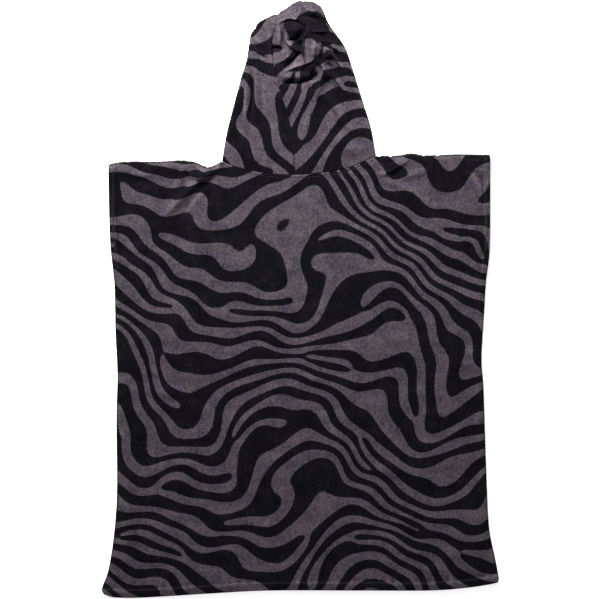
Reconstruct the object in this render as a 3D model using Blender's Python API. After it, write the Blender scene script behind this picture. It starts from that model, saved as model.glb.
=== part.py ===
"""A hooded bath poncho of velour terry, laid flat with its back up, as a Blender model.

Run it with: blender --background --python part.py

The garment is cut in four pieces: a front panel, a back panel and the two sides of the hood. The front
panel lies on the floor and the back panel lies on it, joined to it down the sides and along the shoulders.
Each side of the hood runs from the seam down the back of the head, round the outer edge and under, to the
edge of the face opening. The crown is bunched, and its hidden layers are one rounded solid.

Metres, +Z up, +Y from the hem to the hood. The origin is on the floor at the middle of the whole garment.
"""

from collections import namedtuple

import bmesh
import bpy
import numpy as np

MM = 0.001

# The cloth and its seams, in mm.
CLOTH = 2.4  # thickness of the terry, pile and all
GAP = 0.3  # between two pieces at a seam, and between a panel and the one it lies on
HEM_DEPTH = 15.0  # turned up along the bottom and round the face opening
ARMHOLE_HEM = 10.0  # turned in along each armhole
HEM_THICKER = 0.7  # how much thicker a turned edge is, as a share of the cloth
HEM_SLOPE = 5.0  # over which a turned edge thins to the plain cloth
HEM_LIFT = 0.5  # how much more the upper of two turned edges stands up
ARMHOLE_FOOT = 58.0  # y at which the side seam ends and the armhole starts
ARMHOLE_BLEND = 16.0  # over which one becomes the other
SEAM_RISE = 2.6  # the roll that the allowances inside a seam give the cloth
SEAM_ROLL = 8.0  # how far in from the seam that roll stands highest
SHOULDER_SEAM = 150.0  # |x| beyond which the top edge is a shoulder seam
SHOULDER_BLEND = 20.0
ROUND = 3.0  # how far in from a cut edge its rounding reaches
UNDER_ROUND = 0.25  # how much of the cloth the rounding takes off, as shares: below,
OVER_ROUND = 0.1  # on the front panel's upper face
BACK_ROUND = 0.5  # and on the back panel's
FLAT_MARGIN = 14.0  # the folds die out this far from a panel's edges
DEEPEST = -1.0  # how far down a trough can go, where the cloth has little room under it

# Outlines in plan, in mm. Each row is one point of a smooth curve.
Point = namedtuple("Point", "x y")
LEFT_EDGE = (  # from the hem up to the shoulder
    Point(-391, -590),
    Point(-396, -578),
    Point(-383, -540),
    Point(-372, -470),
    Point(-366, -380),
    Point(-367, -240),
    Point(-365, -150),
    Point(-369, -60),
    Point(-371, 30),
    Point(-379, 110),
    Point(-382, 200),
    Point(-383, 266),
)
RIGHT_EDGE = (
    Point(395, -566),
    Point(397, -554),
    Point(389, -512),
    Point(378, -455),
    Point(373, -360),
    Point(367, -180),
    Point(363, -120),
    Point(368, -30),
    Point(372, 35),
    Point(379, 100),
    Point(380, 200),
    Point(380, 287),
)
HEM_EDGE = (  # from left to right
    Point(-391, -590),
    Point(-368, -596),
    Point(-310, -596),
    Point(-180, -588),
    Point(-60, -582),
    Point(120, -582),
    Point(260, -582),
    Point(330, -577),
    Point(372, -571),
    Point(395, -566),
)
LEFT_SHOULDER = (  # from the armhole to the neck
    Point(-383, 266),
    Point(-368, 271),
    Point(-335, 274),
    Point(-290, 273),
    Point(-240, 276),
    Point(-212, 273),
    Point(-190, 264),
    Point(-174, 267),
    Point(-156, 276),
)
RIGHT_SHOULDER = (  # from the neck to the armhole
    Point(152, 286),
    Point(170, 285),
    Point(200, 286),
    Point(221, 290),
    Point(251, 286),
    Point(310, 288),
    Point(380, 287),
)
BACK_NECK = (  # from left to right
    Point(-156, 276),
    Point(-131, 265),
    Point(-78, 253),
    Point(-20, 248),
    Point(48, 253),
    Point(101, 264),
    Point(152, 286),
)
FRONT_NECK = (
    Point(-156, 276),
    Point(-128, 232),
    Point(-68, 196),
    Point(-5, 186),
    Point(62, 197),
    Point(122, 236),
    Point(152, 286),
)
HOOD_LEFT_EDGE = (  # from the neck up to the corner of the face opening
    Point(-156, 276),
    Point(-147, 330),
    Point(-135, 378),
    Point(-118, 442),
    Point(-107, 478),
    Point(-102, 510),
    Point(-99, 528),
    Point(-93, 541),
)
HOOD_RIGHT_EDGE = (
    Point(152, 286),
    Point(141, 346),
    Point(126, 394),
    Point(101, 474),
    Point(89, 506),
    Point(66, 538),
    Point(54, 558),
    Point(48, 574),
    Point(42, 588),
)
FOREHEAD = (  # the top of the face opening, from left to right
    Point(-93, 541),
    Point(-79, 554),
    Point(-49, 568),
    Point(-32, 576),
    Point(-14, 589),
    Point(2, 595),
    Point(26, 595),
    Point(42, 588),
)
HOOD_SEAM = (  # down the back of the head, here from the neck up
    Point(-9, 248),
    Point(-12, 300),
    Point(-18, 356),
    Point(-32, 406),
    Point(-48, 452),
    Point(-53, 500),
    Point(-48, 545),
    Point(-36, 574),
)
LEFT_FACE_EDGE = (  # the face opening, on the underside, from the neck up
    Point(-8, 186),
    Point(-22, 230),
    Point(-44, 300),
    Point(-58, 380),
    Point(-68, 460),
    Point(-76, 510),
    Point(-84, 536),
)
RIGHT_FACE_EDGE = (
    Point(-3, 186),
    Point(14, 232),
    Point(38, 300),
    Point(54, 380),
    Point(62, 460),
    Point(54, 525),
    Point(36, 582),
)
NECK_BLEND = 0.5  # share of the height over which the front's plan leaves the back's
NECK_SHARE = (0.30, 0.69)  # where the neck starts and ends, as shares of the panel's width
SEAM_AT_NECK = 0.475  # where the hood's seam meets the neck, as a share of the neck's length
SEAM_AT_FOREHEAD = 0.38  # and the forehead
FACE_AT_NECK = 0.5  # where the two face edges meet on the front neck

# The largest folds, in mm. A crest runs from its start through its middle to its end. It reaches
# `left` mm to its left and `right` mm to its right, seen from its start. A trough has a negative height.
Fold = namedtuple("Fold", "x1 y1 x2 y2 x3 y3 height left right")
BACK_FOLDS = (
    Fold(-180, 264, -222, 222, -290, 150, 7.0, 12, 18),  # the long one off the left shoulder
    Fold(-225, 262, -204, 246, -166, 254, 6.0, 12, 10),
    Fold(-340, 256, -318, 250, -296, 254, 4.0, 12, 9),
    Fold(160, 262, 200, 254, 262, 262, 5.0, 12, 9),  # the gathers by the right shoulder
    Fold(158, 240, 205, 226, 268, 190, 3.5, 13, 15),
    Fold(322, 256, 350, 240, 366, 196, 3.5, 10, 12),
    Fold(-352, -560, -352, -470, -340, -380, 4.0, 20, 18),
    Fold(352, -540, 352, -460, 340, -370, 4.0, 18, 20),
    Fold(-300, -92, -230, -128, -160, -150, 3.0, 16, 20),
    Fold(280, -78, 325, -100, 362, -104, 3.5, 14, 16),
)
HOOD_FOLDS = (
    Fold(-56, 402, -66, 470, -58, 548, 7.0, 20, 7),  # the left side, folded over the crown
    Fold(-44, 528, -8, 580, 24, 528, 9.0, 7, 15),  # the arch over the bunched crown
    Fold(16, 548, 22, 520, 30, 500, 5.0, 10, 9),
    Fold(29, 530, 33, 496, 27, 458, 9.0, 11, 12),  # the smooth roll beside it
    Fold(48, 496, 58, 488, 66, 478, 5.0, 9, 9),  # the knob
    Fold(-40, 470, -8, 494, 20, 512, -5.0, 8, 6),  # the pocket under the arch
    Fold(-38, 480, 0, 474, 28, 468, 4.0, 9, 8),
    Fold(-52, 454, -8, 454, 40, 452, -6.0, 7, 9),  # the long crease across the back of the head
    Fold(8, 580, 36, 560, 62, 540, -4.0, 7, 8),  # the crease down the top flap
    Fold(46, 528, 76, 520, 100, 492, 4.0, 8, 7),  # three drapes to the right edge
    Fold(56, 508, 84, 492, 108, 458, 4.0, 7, 7),
    Fold(58, 470, 84, 440, 110, 404, 4.0, 9, 9),
    Fold(30, 448, 62, 410, 100, 372, 3.0, 12, 12),
    Fold(-104, 470, -90, 496, -66, 530, 4.0, 8, 8),
    Fold(-116, 430, -100, 400, -96, 350, 2.5, 10, 9),
    Fold(-40, 420, -26, 376, -18, 320, 3.0, 12, 6),  # the ridge of the seam's allowances
    Fold(60, 330, 96, 300, 132, 296, 2.0, 12, 12),
)
Puff = namedtuple("Puff", "x y reach_x reach_y height")
HOOD_PUFFS = (
    Puff(-8, 540, 24, 20, 5.0),
    Puff(0, 500, 56, 56, 9.0),
    Puff(24, 470, 46, 60, 4.0),
    Puff(-20, 420, 60, 70, 2.0),
)
HOOD_BASE_RISE = 1.2  # between the hood's two layers, clear of its edges
EDGE_RISE = 1.6  # how much more it is where the hood turns under
EDGE_REACH = 26.0  # over which the folds die out towards the outer edge
NECK_REACH = 40.0  # towards the neck
FOREHEAD_REACH = 26.0  # and towards the forehead, where this share of them is left
FOREHEAD_SHARE = 0.25
CORNER_RISE = 0.3  # share of its height that the turned edge keeps at the face opening's corners
CORNER_SQUEEZE = 0.5  # and of its width
CORNER_REACH = 12.0
LEVEL_REACH = 12.0  # within this of an edge the wall's thickness is measured straight up

# The crown's hidden layers rest on the floor inside the face opening.
TUCK_CENTRE = (2.0, 500.0)
TUCK_REACH = (40.0, 46.0)
TUCK_CLEARANCE = 5.0  # how far round each point it keeps under the lowest of the hood
TUCK_RIM = 0.3  # share of that height that it has at its rim
TUCK_CROWN = 0.5  # how fast it rises from there: lower is faster
TUCK_FLOOR = -0.01  # what is lower than this on the ball is pressed flat

# How finely each piece is divided.
SIDE_STEPS = (0, 3, 10, 15)  # mm in from a side edge
PANEL_ACROSS = (16, 15, 14)  # left shoulder, neck, right shoulder
HEM_STEPS = (0, 3, 15, 20)  # mm up from the hem
SHOULDER_DEPTH = 150  # mm down from the shoulders that have the folds
PANEL_ROWS = (22, 13)  # below that, and in it
TOP_STEPS = (14, 8, 3, 0)  # mm down from the shoulders
CROWN_START = 0.5  # share of the hood's height
HOOD_ROWS = (11, 26)  # below that and above it
LEFT_COLUMNS = 10
RIGHT_COLUMNS = 20
UNDER_COLUMNS = 5
TURN_STEPS = 5
TUCK_RINGS = 15
TUCK_SPOKES = 28

VELOUR_COLOUR = (0.085, 0.070, 0.082, 1.0)
LINING_COLOUR = (0.030, 0.026, 0.032, 1.0)


def fresh_scene():
    for thing in list(bpy.data.objects):
        bpy.data.objects.remove(thing)
    poncho = bpy.data.collections.new("hooded_bath_poncho")
    bpy.context.scene.collection.children.link(poncho)
    return poncho


def fabric(name, colour):
    material = bpy.data.materials.new(name)
    material.use_nodes = True
    shader = material.node_tree.nodes["Principled BSDF"]
    shader.inputs["Base Color"].default_value = colour
    shader.inputs["Roughness"].default_value = 0.95
    shader.inputs["Metallic"].default_value = 0.0
    material.diffuse_color = colour
    return material


def smoothstep(low, high, value):
    share = np.clip((value - low) / (high - low), 0.0, 1.0)
    return share * share * (3.0 - 2.0 * share)


def rising(start, reach, distance):
    """From `start` at no distance up to 1 at `reach`."""
    return start + (1 - start) * smoothstep(0, reach, distance)


def along(rows, shares):
    """Points at these shares of the length of the smooth curve through the rows (a Catmull-Rom curve)."""
    knots = np.array(rows, float)
    ends = np.vstack([2 * knots[0] - knots[1], knots, 2 * knots[-1] - knots[-2]])
    part = np.linspace(0.0, 1.0, 16, endpoint=False)[:, None]
    spans = []
    for before, start, end, after in zip(ends[:-3], ends[1:-2], ends[2:-1], ends[3:], strict=True):
        curve = 2 * start + (end - before) * part
        curve = curve + (2 * before - 5 * start + 4 * end - after) * part**2
        curve = curve + (3 * start - before - 3 * end + after) * part**3
        spans.append(curve / 2)
    fine = np.vstack([*spans, knots[-1:]])
    run = np.concatenate([[0.0], np.cumsum(np.linalg.norm(np.diff(fine, axis=0), axis=1))])
    wanted = np.asarray(shares, float) * run[-1]
    return np.stack([np.interp(wanted, run, fine[:, axis]) for axis in range(2)], axis=-1)


def length_of(rows):
    points = along(rows, np.linspace(0.0, 1.0, 200))
    return np.linalg.norm(np.diff(points, axis=0), axis=1).sum()


def neck_points(rows, shares):
    """Points on the panel's own neck edge, which is straight between its columns."""
    knots = np.linspace(0.0, 1.0, PANEL_ACROSS[1])
    points = along(rows, knots)
    return np.stack([np.interp(shares, knots, points[:, axis]) for axis in range(2)], axis=-1)


def beside(points, distance):
    """A curve moved sideways in plan, to the left of the way it runs."""
    heading = np.gradient(points, axis=0)
    normal = np.stack([-heading[:, 1], heading[:, 0]], axis=-1)
    return points + distance * normal / np.linalg.norm(normal, axis=1)[:, None]


def distance_to(rows, x, y):
    """How far each point is from the smooth curve through the rows."""
    curve = along(rows, np.linspace(0.0, 1.0, 120))
    away = np.stack([x, y], axis=-1)[..., None, :] - curve[:-1]
    span = np.diff(curve, axis=0)
    share = np.clip((away * span).sum(-1) / (span**2).sum(-1), 0.0, 1.0)
    return np.linalg.norm(away - share[..., None] * span, axis=-1).min(-1)


def patch(bottom, top, left, right, across, up):
    """A Coons patch: points [row, column] in plan that fill the space between four edges."""
    u = np.asarray(across)[None, :, None]
    v = np.asarray(up)[:, None, None]
    ruled = (1 - v) * bottom[None] + v * top[None] + (1 - u) * left[:, None] + u * right[:, None]
    corners = (1 - v) * ((1 - u) * bottom[0] + u * bottom[-1]) + v * ((1 - u) * top[0] + u * top[-1])
    return ruled - corners


def fold_heights(x, y, folds):
    """How high the folds stand at x, y: a bell across each crest, which dies out at both its ends."""
    total = np.zeros_like(x)
    steps = np.linspace(0.0, 1.0, 33)
    for fold in folds:
        start, middle, end = np.array([(fold.x1, fold.y1), (fold.x2, fold.y2), (fold.x3, fold.y3)], float)
        bend = 2 * middle - (start + end) / 2
        crest = (1 - steps)[:, None] ** 2 * start + 2 * ((1 - steps) * steps)[:, None] * bend
        crest = crest + steps[:, None] ** 2 * end
        heading = np.gradient(crest, axis=0)
        away = np.stack([x, y], axis=-1)[..., None, :] - crest
        nearest = np.argmin((away**2).sum(-1), axis=-1)
        offset = np.take_along_axis(away, nearest[..., None, None], axis=-2)[..., 0, :]
        direction = heading[nearest]
        side = direction[..., 0] * offset[..., 1] - direction[..., 1] * offset[..., 0]
        reach = np.where(side > 0, fold.left, fold.right)
        distance = np.linalg.norm(offset, axis=-1)
        alive = np.sin(np.pi * np.clip(steps[nearest], 0.02, 0.98)) ** 0.6
        total += fold.height * alive * np.exp(-((distance / reach) ** 2))
    return total


def puff_heights(x, y, puffs):
    total = np.zeros_like(x)
    for puff in puffs:
        across, up = (x - puff.x) / puff.reach_x, (y - puff.y) / puff.reach_y
        total += puff.height * np.exp(-(across**2) - up**2)
    return total


def panel_rows(height):
    """The rows of a body panel, as shares of its height: closer at its edges and where the folds are."""
    fold_start = height - SHOULDER_DEPTH
    plain = np.linspace(HEM_STEPS[-1], fold_start, PANEL_ROWS[0])[1:-1]
    folded = np.linspace(fold_start, height - TOP_STEPS[0], PANEL_ROWS[1])[:-1]
    return np.concatenate([HEM_STEPS, plain, folded, height - np.array(TOP_STEPS)]) / height


def panel_plan(neck_rows):
    """The plan of a body panel, with how far each point is from its left, right, lower and upper edge.

    The two panels share one plan, apart from the neckline, which is drawn down over NECK_BLEND of the height.
    """
    width = length_of(HEM_EDGE)
    height = length_of(LEFT_EDGE)
    neck_start, neck_end = NECK_SHARE
    left_columns = np.concatenate(
        [np.array(SIDE_STEPS) / width, np.linspace(SIDE_STEPS[-1] / width, neck_start, PANEL_ACROSS[0])[1:]]
    )
    neck_columns = np.linspace(neck_start, neck_end, PANEL_ACROSS[1])
    right_columns = 1 - np.concatenate(
        [np.array(SIDE_STEPS) / width, np.linspace(SIDE_STEPS[-1] / width, 1 - neck_end, PANEL_ACROSS[2])[1:]]
    )[::-1]
    across = np.concatenate([left_columns, neck_columns[1:-1], right_columns])
    up = panel_rows(height)
    neck = (neck_columns[1:-1] - neck_start) / (neck_end - neck_start)
    left_top = along(LEFT_SHOULDER, left_columns / neck_start)
    right_top = along(RIGHT_SHOULDER, (right_columns - neck_end) / (1 - neck_end))
    top = np.vstack([left_top, along(BACK_NECK, neck), right_top])
    plan = patch(along(HEM_EDGE, across), top, along(LEFT_EDGE, up), along(RIGHT_EDGE, up), across, up)
    drawn = along(neck_rows, neck) - along(BACK_NECK, neck)
    blend = smoothstep(1 - NECK_BLEND, 1, up)[:, None, None]
    plan[:, len(left_columns) : -len(right_columns)] += blend * drawn
    from_left = plan[..., 0] - plan[:, :1, 0]
    from_right = plan[:, -1:, 0] - plan[..., 0]
    from_hem = plan[..., 1] - plan[:1, :, 1]
    from_top = plan[-1:, :, 1] - plan[..., 1]
    return plan, from_left, from_right, from_hem, from_top


def armhole_share(y):
    """0 beside the side seam and 1 beside the armhole."""
    return smoothstep(ARMHOLE_FOOT - ARMHOLE_BLEND, ARMHOLE_FOOT, y)


def turned_edges(plan, from_left, from_right, from_hem):
    """1 where the cloth is turned and doubled, at the hem and the armholes, and 0 on the plain cloth."""
    from_side = np.minimum(from_left, from_right)
    side = armhole_share(plan[..., 1]) * (1 - smoothstep(ARMHOLE_HEM, ARMHOLE_HEM + HEM_SLOPE, from_side))
    foot = 1 - smoothstep(HEM_DEPTH, HEM_DEPTH + HEM_SLOPE, from_hem)
    return np.maximum(side, foot)


def seam_roll(distance):
    """0 at a seam, 1 at SEAM_ROLL mm from it, and back to 0 further in."""
    share = np.maximum(distance, 0.0) / SEAM_ROLL
    return share * np.exp(1 - share)


def rounding(*distances):
    """1 at a cut edge and 0 past ROUND mm from it."""
    nearest = np.minimum.reduce(distances)
    return 1 - smoothstep(0, ROUND, nearest)


def grid_faces(rows, columns, first, flip):
    faces = []
    for row in range(rows - 1):
        for column in range(columns - 1):
            corner = first + row * columns + column
            quad = (corner, corner + 1, corner + columns + 1, corner + columns)
            faces.append(quad[::-1] if flip else quad)
    return faces


def border(rows, columns):
    """Indices of a grid's points round its border, anticlockwise seen from above."""
    bottom = list(range(columns))
    right = [row * columns + columns - 1 for row in range(1, rows)]
    top = [(rows - 1) * columns + column for column in range(columns - 2, -1, -1)]
    left = [row * columns for row in range(rows - 2, 0, -1)]
    return bottom + right + top + left


def wall(name, under, over, material, collection):
    """A closed wall between two grids of points [row, column] in mm, rows up and columns to the right."""
    rows, columns = under.shape[:2]
    count = rows * columns
    vertices = np.vstack([under.reshape(-1, 3), over.reshape(-1, 3)]) * MM
    faces = grid_faces(rows, columns, 0, flip=True) + grid_faces(rows, columns, count, flip=False)
    rim = border(rows, columns)
    for here, there in zip(rim, rim[1:] + rim[:1], strict=True):
        # Both sides of a seam are cut along the same diagonals, so that they match.
        if vertices[here, 1] < vertices[there, 1]:
            faces += [(here, there, there + count), (here, there + count, here + count)]
        else:
            faces += [(here, there, here + count), (there, there + count, here + count)]
    mesh = bpy.data.meshes.new(name)
    mesh.from_pydata(vertices.tolist(), [], faces)
    mesh.shade_smooth()
    mesh.materials.append(material)
    piece = bpy.data.objects.new(name, mesh)
    collection.objects.link(piece)
    return piece


def at_height(plan, height):
    return np.concatenate([plan, height[..., None]], axis=-1)


def front_panel_tops(turned):
    return CLOTH * (1 + HEM_THICKER * turned)


def make_front_panel(material, collection):
    """The panel on the floor: flat underneath, thicker where its hem and armholes are turned."""
    plan, *distances = panel_plan(FRONT_NECK)
    turned = turned_edges(plan, *distances[:3])
    edge = rounding(*distances)
    under = at_height(plan, UNDER_ROUND * CLOTH * edge)
    over = at_height(plan, front_panel_tops(turned) - OVER_ROUND * CLOTH * edge)
    return wall("front_panel", under, over, material, collection)


def back_panel_surfaces():
    """The under and upper faces of the panel that lies on the front one, and rises over its folds."""
    plan, *distances = panel_plan(BACK_NECK)
    from_left, from_right, from_hem, from_top = distances
    x, y = plan[..., 0], plan[..., 1]
    turned = turned_edges(plan, from_left, from_right, from_hem)
    side_seam = 1 - armhole_share(y)
    shoulder_seam = smoothstep(SHOULDER_SEAM, SHOULDER_SEAM + SHOULDER_BLEND, np.abs(x))
    seams = [(side_seam, from_left), (side_seam, from_right), (shoulder_seam, from_top)]
    rolls = [share * seam_roll(distance) for share, distance in seams]
    inside = smoothstep(0, FLAT_MARGIN, np.minimum.reduce(distances))
    folds = inside * np.maximum(fold_heights(x, y, BACK_FOLDS), DEEPEST)
    lift = np.maximum(SEAM_RISE * np.maximum.reduce(rolls) + folds, 0.0) + HEM_LIFT * turned
    under = front_panel_tops(turned) + GAP + lift
    over = under + CLOTH * (1 + HEM_THICKER * turned - BACK_ROUND * rounding(*distances))
    return at_height(plan, under), at_height(plan, over)


def make_back_panel(material, collection):
    under, over = back_panel_surfaces()
    return wall("back_panel", under, over, material, collection)


def hood_height(x, y):
    """The height of the inner face of the hood's upper layer over the floor."""
    from_neck = distance_to(BACK_NECK, x, y)
    above_neck = smoothstep(0, NECK_REACH, from_neck)
    from_side = np.minimum(distance_to(HOOD_LEFT_EDGE, x, y), distance_to(HOOD_RIGHT_EDGE, x, y))
    inside = smoothstep(CLOTH + EDGE_RISE, EDGE_REACH, from_side)
    below_forehead = rising(FOREHEAD_SHARE, FOREHEAD_REACH, distance_to(FOREHEAD, x, y))
    bunched = puff_heights(x, y, HOOD_PUFFS) + fold_heights(x, y, HOOD_FOLDS)
    rise = HOOD_BASE_RISE + EDGE_RISE * (1 - inside) + inside * below_forehead * np.maximum(bunched, DEEPEST)
    return CLOTH + GAP + above_neck * rise


def upward_normals(x, y, height_at):
    """Unit normals of the surface z = height_at(x, y)."""
    step = 0.5
    slope_x = (height_at(x + step, y) - height_at(x - step, y)) / (2 * step)
    slope_y = (height_at(x, y + step) - height_at(x, y - step)) / (2 * step)
    normals = np.stack([-slope_x, -slope_y, np.ones_like(x)], axis=-1)
    return normals / np.linalg.norm(normals, axis=-1)[..., None]


def hood_seam(up):
    """The seam down the back of the head in plan, which the two sides share."""
    seam = along(HOOD_SEAM, up)
    neck = neck_points(BACK_NECK, SEAM_AT_NECK) + np.array([0.0, GAP])
    forehead = along(FOREHEAD, [SEAM_AT_FOREHEAD])[0]
    return seam + (1 - up)[:, None] * (neck - seam[0]) + up[:, None] * (forehead - seam[-1])


def hood_side(side, columns):
    """One side of the hood, as (inner, outer) grids of points [row, column] in mm.

    side is -1 for the left and 1 for the right. The rows run from the neck to the forehead, and the
    columns from the seam, round the outer edge and under.
    """
    below_crown = np.linspace(0.0, CROWN_START, HOOD_ROWS[0])[:-1]
    up = np.concatenate([below_crown, np.linspace(CROWN_START, 1.0, HOOD_ROWS[1])])
    across = np.linspace(0.0, 1.0, columns)
    under_across = np.linspace(0.0, 1.0, UNDER_COLUMNS)
    edge_rows = HOOD_LEFT_EDGE if side < 0 else HOOD_RIGHT_EDGE
    face_rows = LEFT_FACE_EDGE if side < 0 else RIGHT_FACE_EDGE
    neck_end = (side + 1) / 2
    outline = along(edge_rows, up)
    neck_corners = beside(neck_points(BACK_NECK, np.linspace(0.0, 1.0, PANEL_ACROSS[1])), GAP)
    outline[0] = neck_corners[0 if side < 0 else -1]
    outward = (beside(outline, 1.0) - outline) * -side
    above_neck = smoothstep(0, NECK_REACH, outline[:, 1] - outline[0, 1])
    below_forehead = rising(CORNER_RISE, FOREHEAD_REACH, outline[-1, 1] - outline[:, 1])
    turn_radius = (GAP + (HOOD_BASE_RISE + EDGE_RISE) * above_neck * below_forehead) / 2
    inset = outline - outward * (turn_radius + CLOTH)[:, None]

    # The upper layer, from the seam to the outer edge.
    neck_shares = SEAM_AT_NECK + (neck_end - SEAM_AT_NECK) * across
    forehead_shares = SEAM_AT_FOREHEAD + (neck_end - SEAM_AT_FOREHEAD) * across
    neck = beside(neck_points(BACK_NECK, neck_shares), side * GAP)
    forehead = along(FOREHEAD, forehead_shares)
    forehead = forehead + across[:, None] ** 4 * (inset[-1] - forehead[-1])
    shared_seam = hood_seam(up)
    seam = beside(shared_seam, -side * GAP / 2)
    neck[0], forehead[0], neck[-1] = seam[0], seam[-1], inset[0]
    upper = patch(neck, forehead, seam, inset, across, up)
    x, y = upper[..., 0].copy(), upper[..., 1].copy()
    x[:, 0], y[:, 0] = shared_seam.T
    height = hood_height(x, y)
    height[:, -1] = CLOTH + 2 * turn_radius
    upright = np.array([0.0, 0.0, 1.0])
    from_edge = np.linalg.norm(upper - inset[:, None], axis=-1)
    from_neck = distance_to(BACK_NECK, x, y)
    level = 1 - smoothstep(0, LEVEL_REACH, np.minimum(from_edge, from_neck))[..., None]
    normals = upward_normals(x, y, hood_height) * (1 - level) + upright * level
    normals /= np.linalg.norm(normals, axis=-1)[..., None]
    turned = 1 - smoothstep(HEM_DEPTH, HEM_DEPTH + HEM_SLOPE, distance_to(FOREHEAD, x, y))
    thickness = CLOTH * (1 + HEM_THICKER * turned * smoothstep(0, LEVEL_REACH, from_edge))
    upper_inner = at_height(upper, height)
    upper_outer = upper_inner + normals * thickness[..., None]

    # The turn round the outer edge.
    angles = np.linspace(0.0, np.pi, TURN_STEPS + 1)[None, 1:-1, None]
    middle = np.concatenate([inset, (CLOTH + turn_radius)[:, None]], axis=-1)[:, None]
    squeeze = rising(CORNER_SQUEEZE, CORNER_REACH, outline[-1, 1] - outline[:, 1])
    away = np.concatenate([outward * squeeze[:, None], np.zeros_like(outward[:, :1])], axis=-1)[:, None]
    radial = np.sin(angles) * away + np.cos(angles) * upright
    turn_inner = middle + turn_radius[:, None, None] * radial
    turn_outer = middle + (turn_radius + CLOTH)[:, None, None] * radial

    # The lower layer, from the outer edge to the edge of the face opening.
    front_shares = neck_end + (FACE_AT_NECK - neck_end) * under_across
    front_neck = beside(neck_points(FRONT_NECK, front_shares), -side * GAP)
    front_neck[-1, 0] += side * GAP / 2
    face = along(face_rows, up)
    face = face + (1 - up)[:, None] * (front_neck[-1] - face[0])
    front_neck[0] = inset[0]
    top_line = inset[-1] + (face[-1] - inset[-1]) * under_across[:, None]
    lower = patch(front_neck, top_line, inset, face, under_across, up)
    lower_inner = at_height(lower, np.full(lower.shape[:2], CLOTH))
    lower_outer = at_height(lower, np.zeros(lower.shape[:2]))

    inner = np.concatenate([upper_inner, turn_inner, lower_inner], axis=1)
    outer = np.concatenate([upper_outer, turn_outer, lower_outer], axis=1)
    return inner, outer


def make_hood_side(name, side, columns, material, collection):
    inner, outer = hood_side(side, columns)
    if side < 0:
        inner, outer = inner[:, ::-1], outer[:, ::-1]
    return wall(name, inner, outer, material, collection)


def make_crown_tuck(material, collection):
    """The crown's hidden layers: a ball pressed flat on the floor, close under the bunched cloth."""
    shape = bmesh.new()
    bmesh.ops.create_uvsphere(shape, u_segments=TUCK_SPOKES, v_segments=TUCK_RINGS, radius=1.0)
    ball = np.array([vertex.co for vertex in shape.verts])
    plan = np.array(TUCK_CENTRE) + np.array(TUCK_REACH) * ball[:, :2]
    corners = [(0, 0), (1, 0), (-1, 0), (0, 1), (0, -1), (1, 1), (-1, 1), (1, -1), (-1, -1)]
    nudges = TUCK_CLEARANCE * np.array(corners)
    lowest = np.min([hood_height(plan[:, 0] + dx, plan[:, 1] + dy) for dx, dy in nudges], axis=0)
    crowned = TUCK_RIM + (1 - TUCK_RIM) * np.clip(ball[:, 2], 0.0, 1.0) ** TUCK_CROWN
    height = np.where(ball[:, 2] < TUCK_FLOOR, 0.0, (lowest - GAP) * crowned)
    for vertex, place in zip(shape.verts, at_height(plan, height) * MM, strict=True):
        vertex.co = place
    mesh = bpy.data.meshes.new("hood_crown_tuck")
    shape.to_mesh(mesh)
    shape.free()
    mesh.shade_smooth()
    mesh.materials.append(material)
    piece = bpy.data.objects.new("hood_crown_tuck", mesh)
    collection.objects.link(piece)
    return piece


def centre_on_floor(pieces):
    """Move the pieces together, so that the origin is on the floor at the middle of their box."""
    coordinates = [np.array([vertex.co for vertex in piece.data.vertices]) for piece in pieces]
    everything = np.vstack(coordinates)
    low, high = everything.min(axis=0), everything.max(axis=0)
    origin = np.array([(low[0] + high[0]) / 2, (low[1] + high[1]) / 2, low[2]])
    for piece, points in zip(pieces, coordinates, strict=True):
        piece.data.vertices.foreach_set("co", (points - origin).ravel())
        piece.data.update()


def main():
    poncho = fresh_scene()
    velour = fabric("velour_terry", VELOUR_COLOUR)
    inside = fabric("terry_inside", LINING_COLOUR)
    pieces = [
        make_front_panel(velour, poncho),
        make_back_panel(velour, poncho),
        make_hood_side("hood_left", -1, LEFT_COLUMNS, velour, poncho),
        make_hood_side("hood_right", 1, RIGHT_COLUMNS, velour, poncho),
        make_crown_tuck(inside, poncho),
    ]
    centre_on_floor(pieces)


main()
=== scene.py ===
"""A hooded bath poncho of printed velour terry, laid flat on a pale floor with its back up."""

from collections import namedtuple
from math import radians

import bpy
import numpy as np
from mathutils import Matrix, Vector


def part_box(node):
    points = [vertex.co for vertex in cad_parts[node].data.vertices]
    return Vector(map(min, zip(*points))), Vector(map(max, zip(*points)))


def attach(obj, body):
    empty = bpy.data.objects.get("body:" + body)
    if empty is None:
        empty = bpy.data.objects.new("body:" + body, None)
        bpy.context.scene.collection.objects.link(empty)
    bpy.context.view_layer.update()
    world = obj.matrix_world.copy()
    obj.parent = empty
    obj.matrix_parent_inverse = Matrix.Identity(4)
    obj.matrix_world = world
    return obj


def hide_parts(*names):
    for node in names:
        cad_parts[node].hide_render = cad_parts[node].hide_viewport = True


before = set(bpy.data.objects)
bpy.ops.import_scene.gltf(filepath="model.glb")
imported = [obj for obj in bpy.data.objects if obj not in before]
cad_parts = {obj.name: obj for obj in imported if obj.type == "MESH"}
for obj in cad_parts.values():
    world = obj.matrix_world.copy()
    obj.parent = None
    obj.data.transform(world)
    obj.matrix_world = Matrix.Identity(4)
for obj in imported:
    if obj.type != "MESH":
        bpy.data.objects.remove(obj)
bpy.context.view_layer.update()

# ---------------------------------------------------------------------------------------------------
# Studio: a camera straight above on a long lens, a white floor lit from below as a light table is, one
# broad soft light low beyond the hood, and a pale room that fills the shadows.
bpy.context.scene.view_settings.view_transform = "Standard"

CAMERA_HEIGHT = 5.0
VIEW_WIDTH = 1.2  # of the floor, in the picture
SENSOR_WIDTH = 36.0  # mm
ROOM_LIGHT = 0.44
FLOOR_GLOW = 0.6
FLOOR_REACH = 6.0


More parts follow.
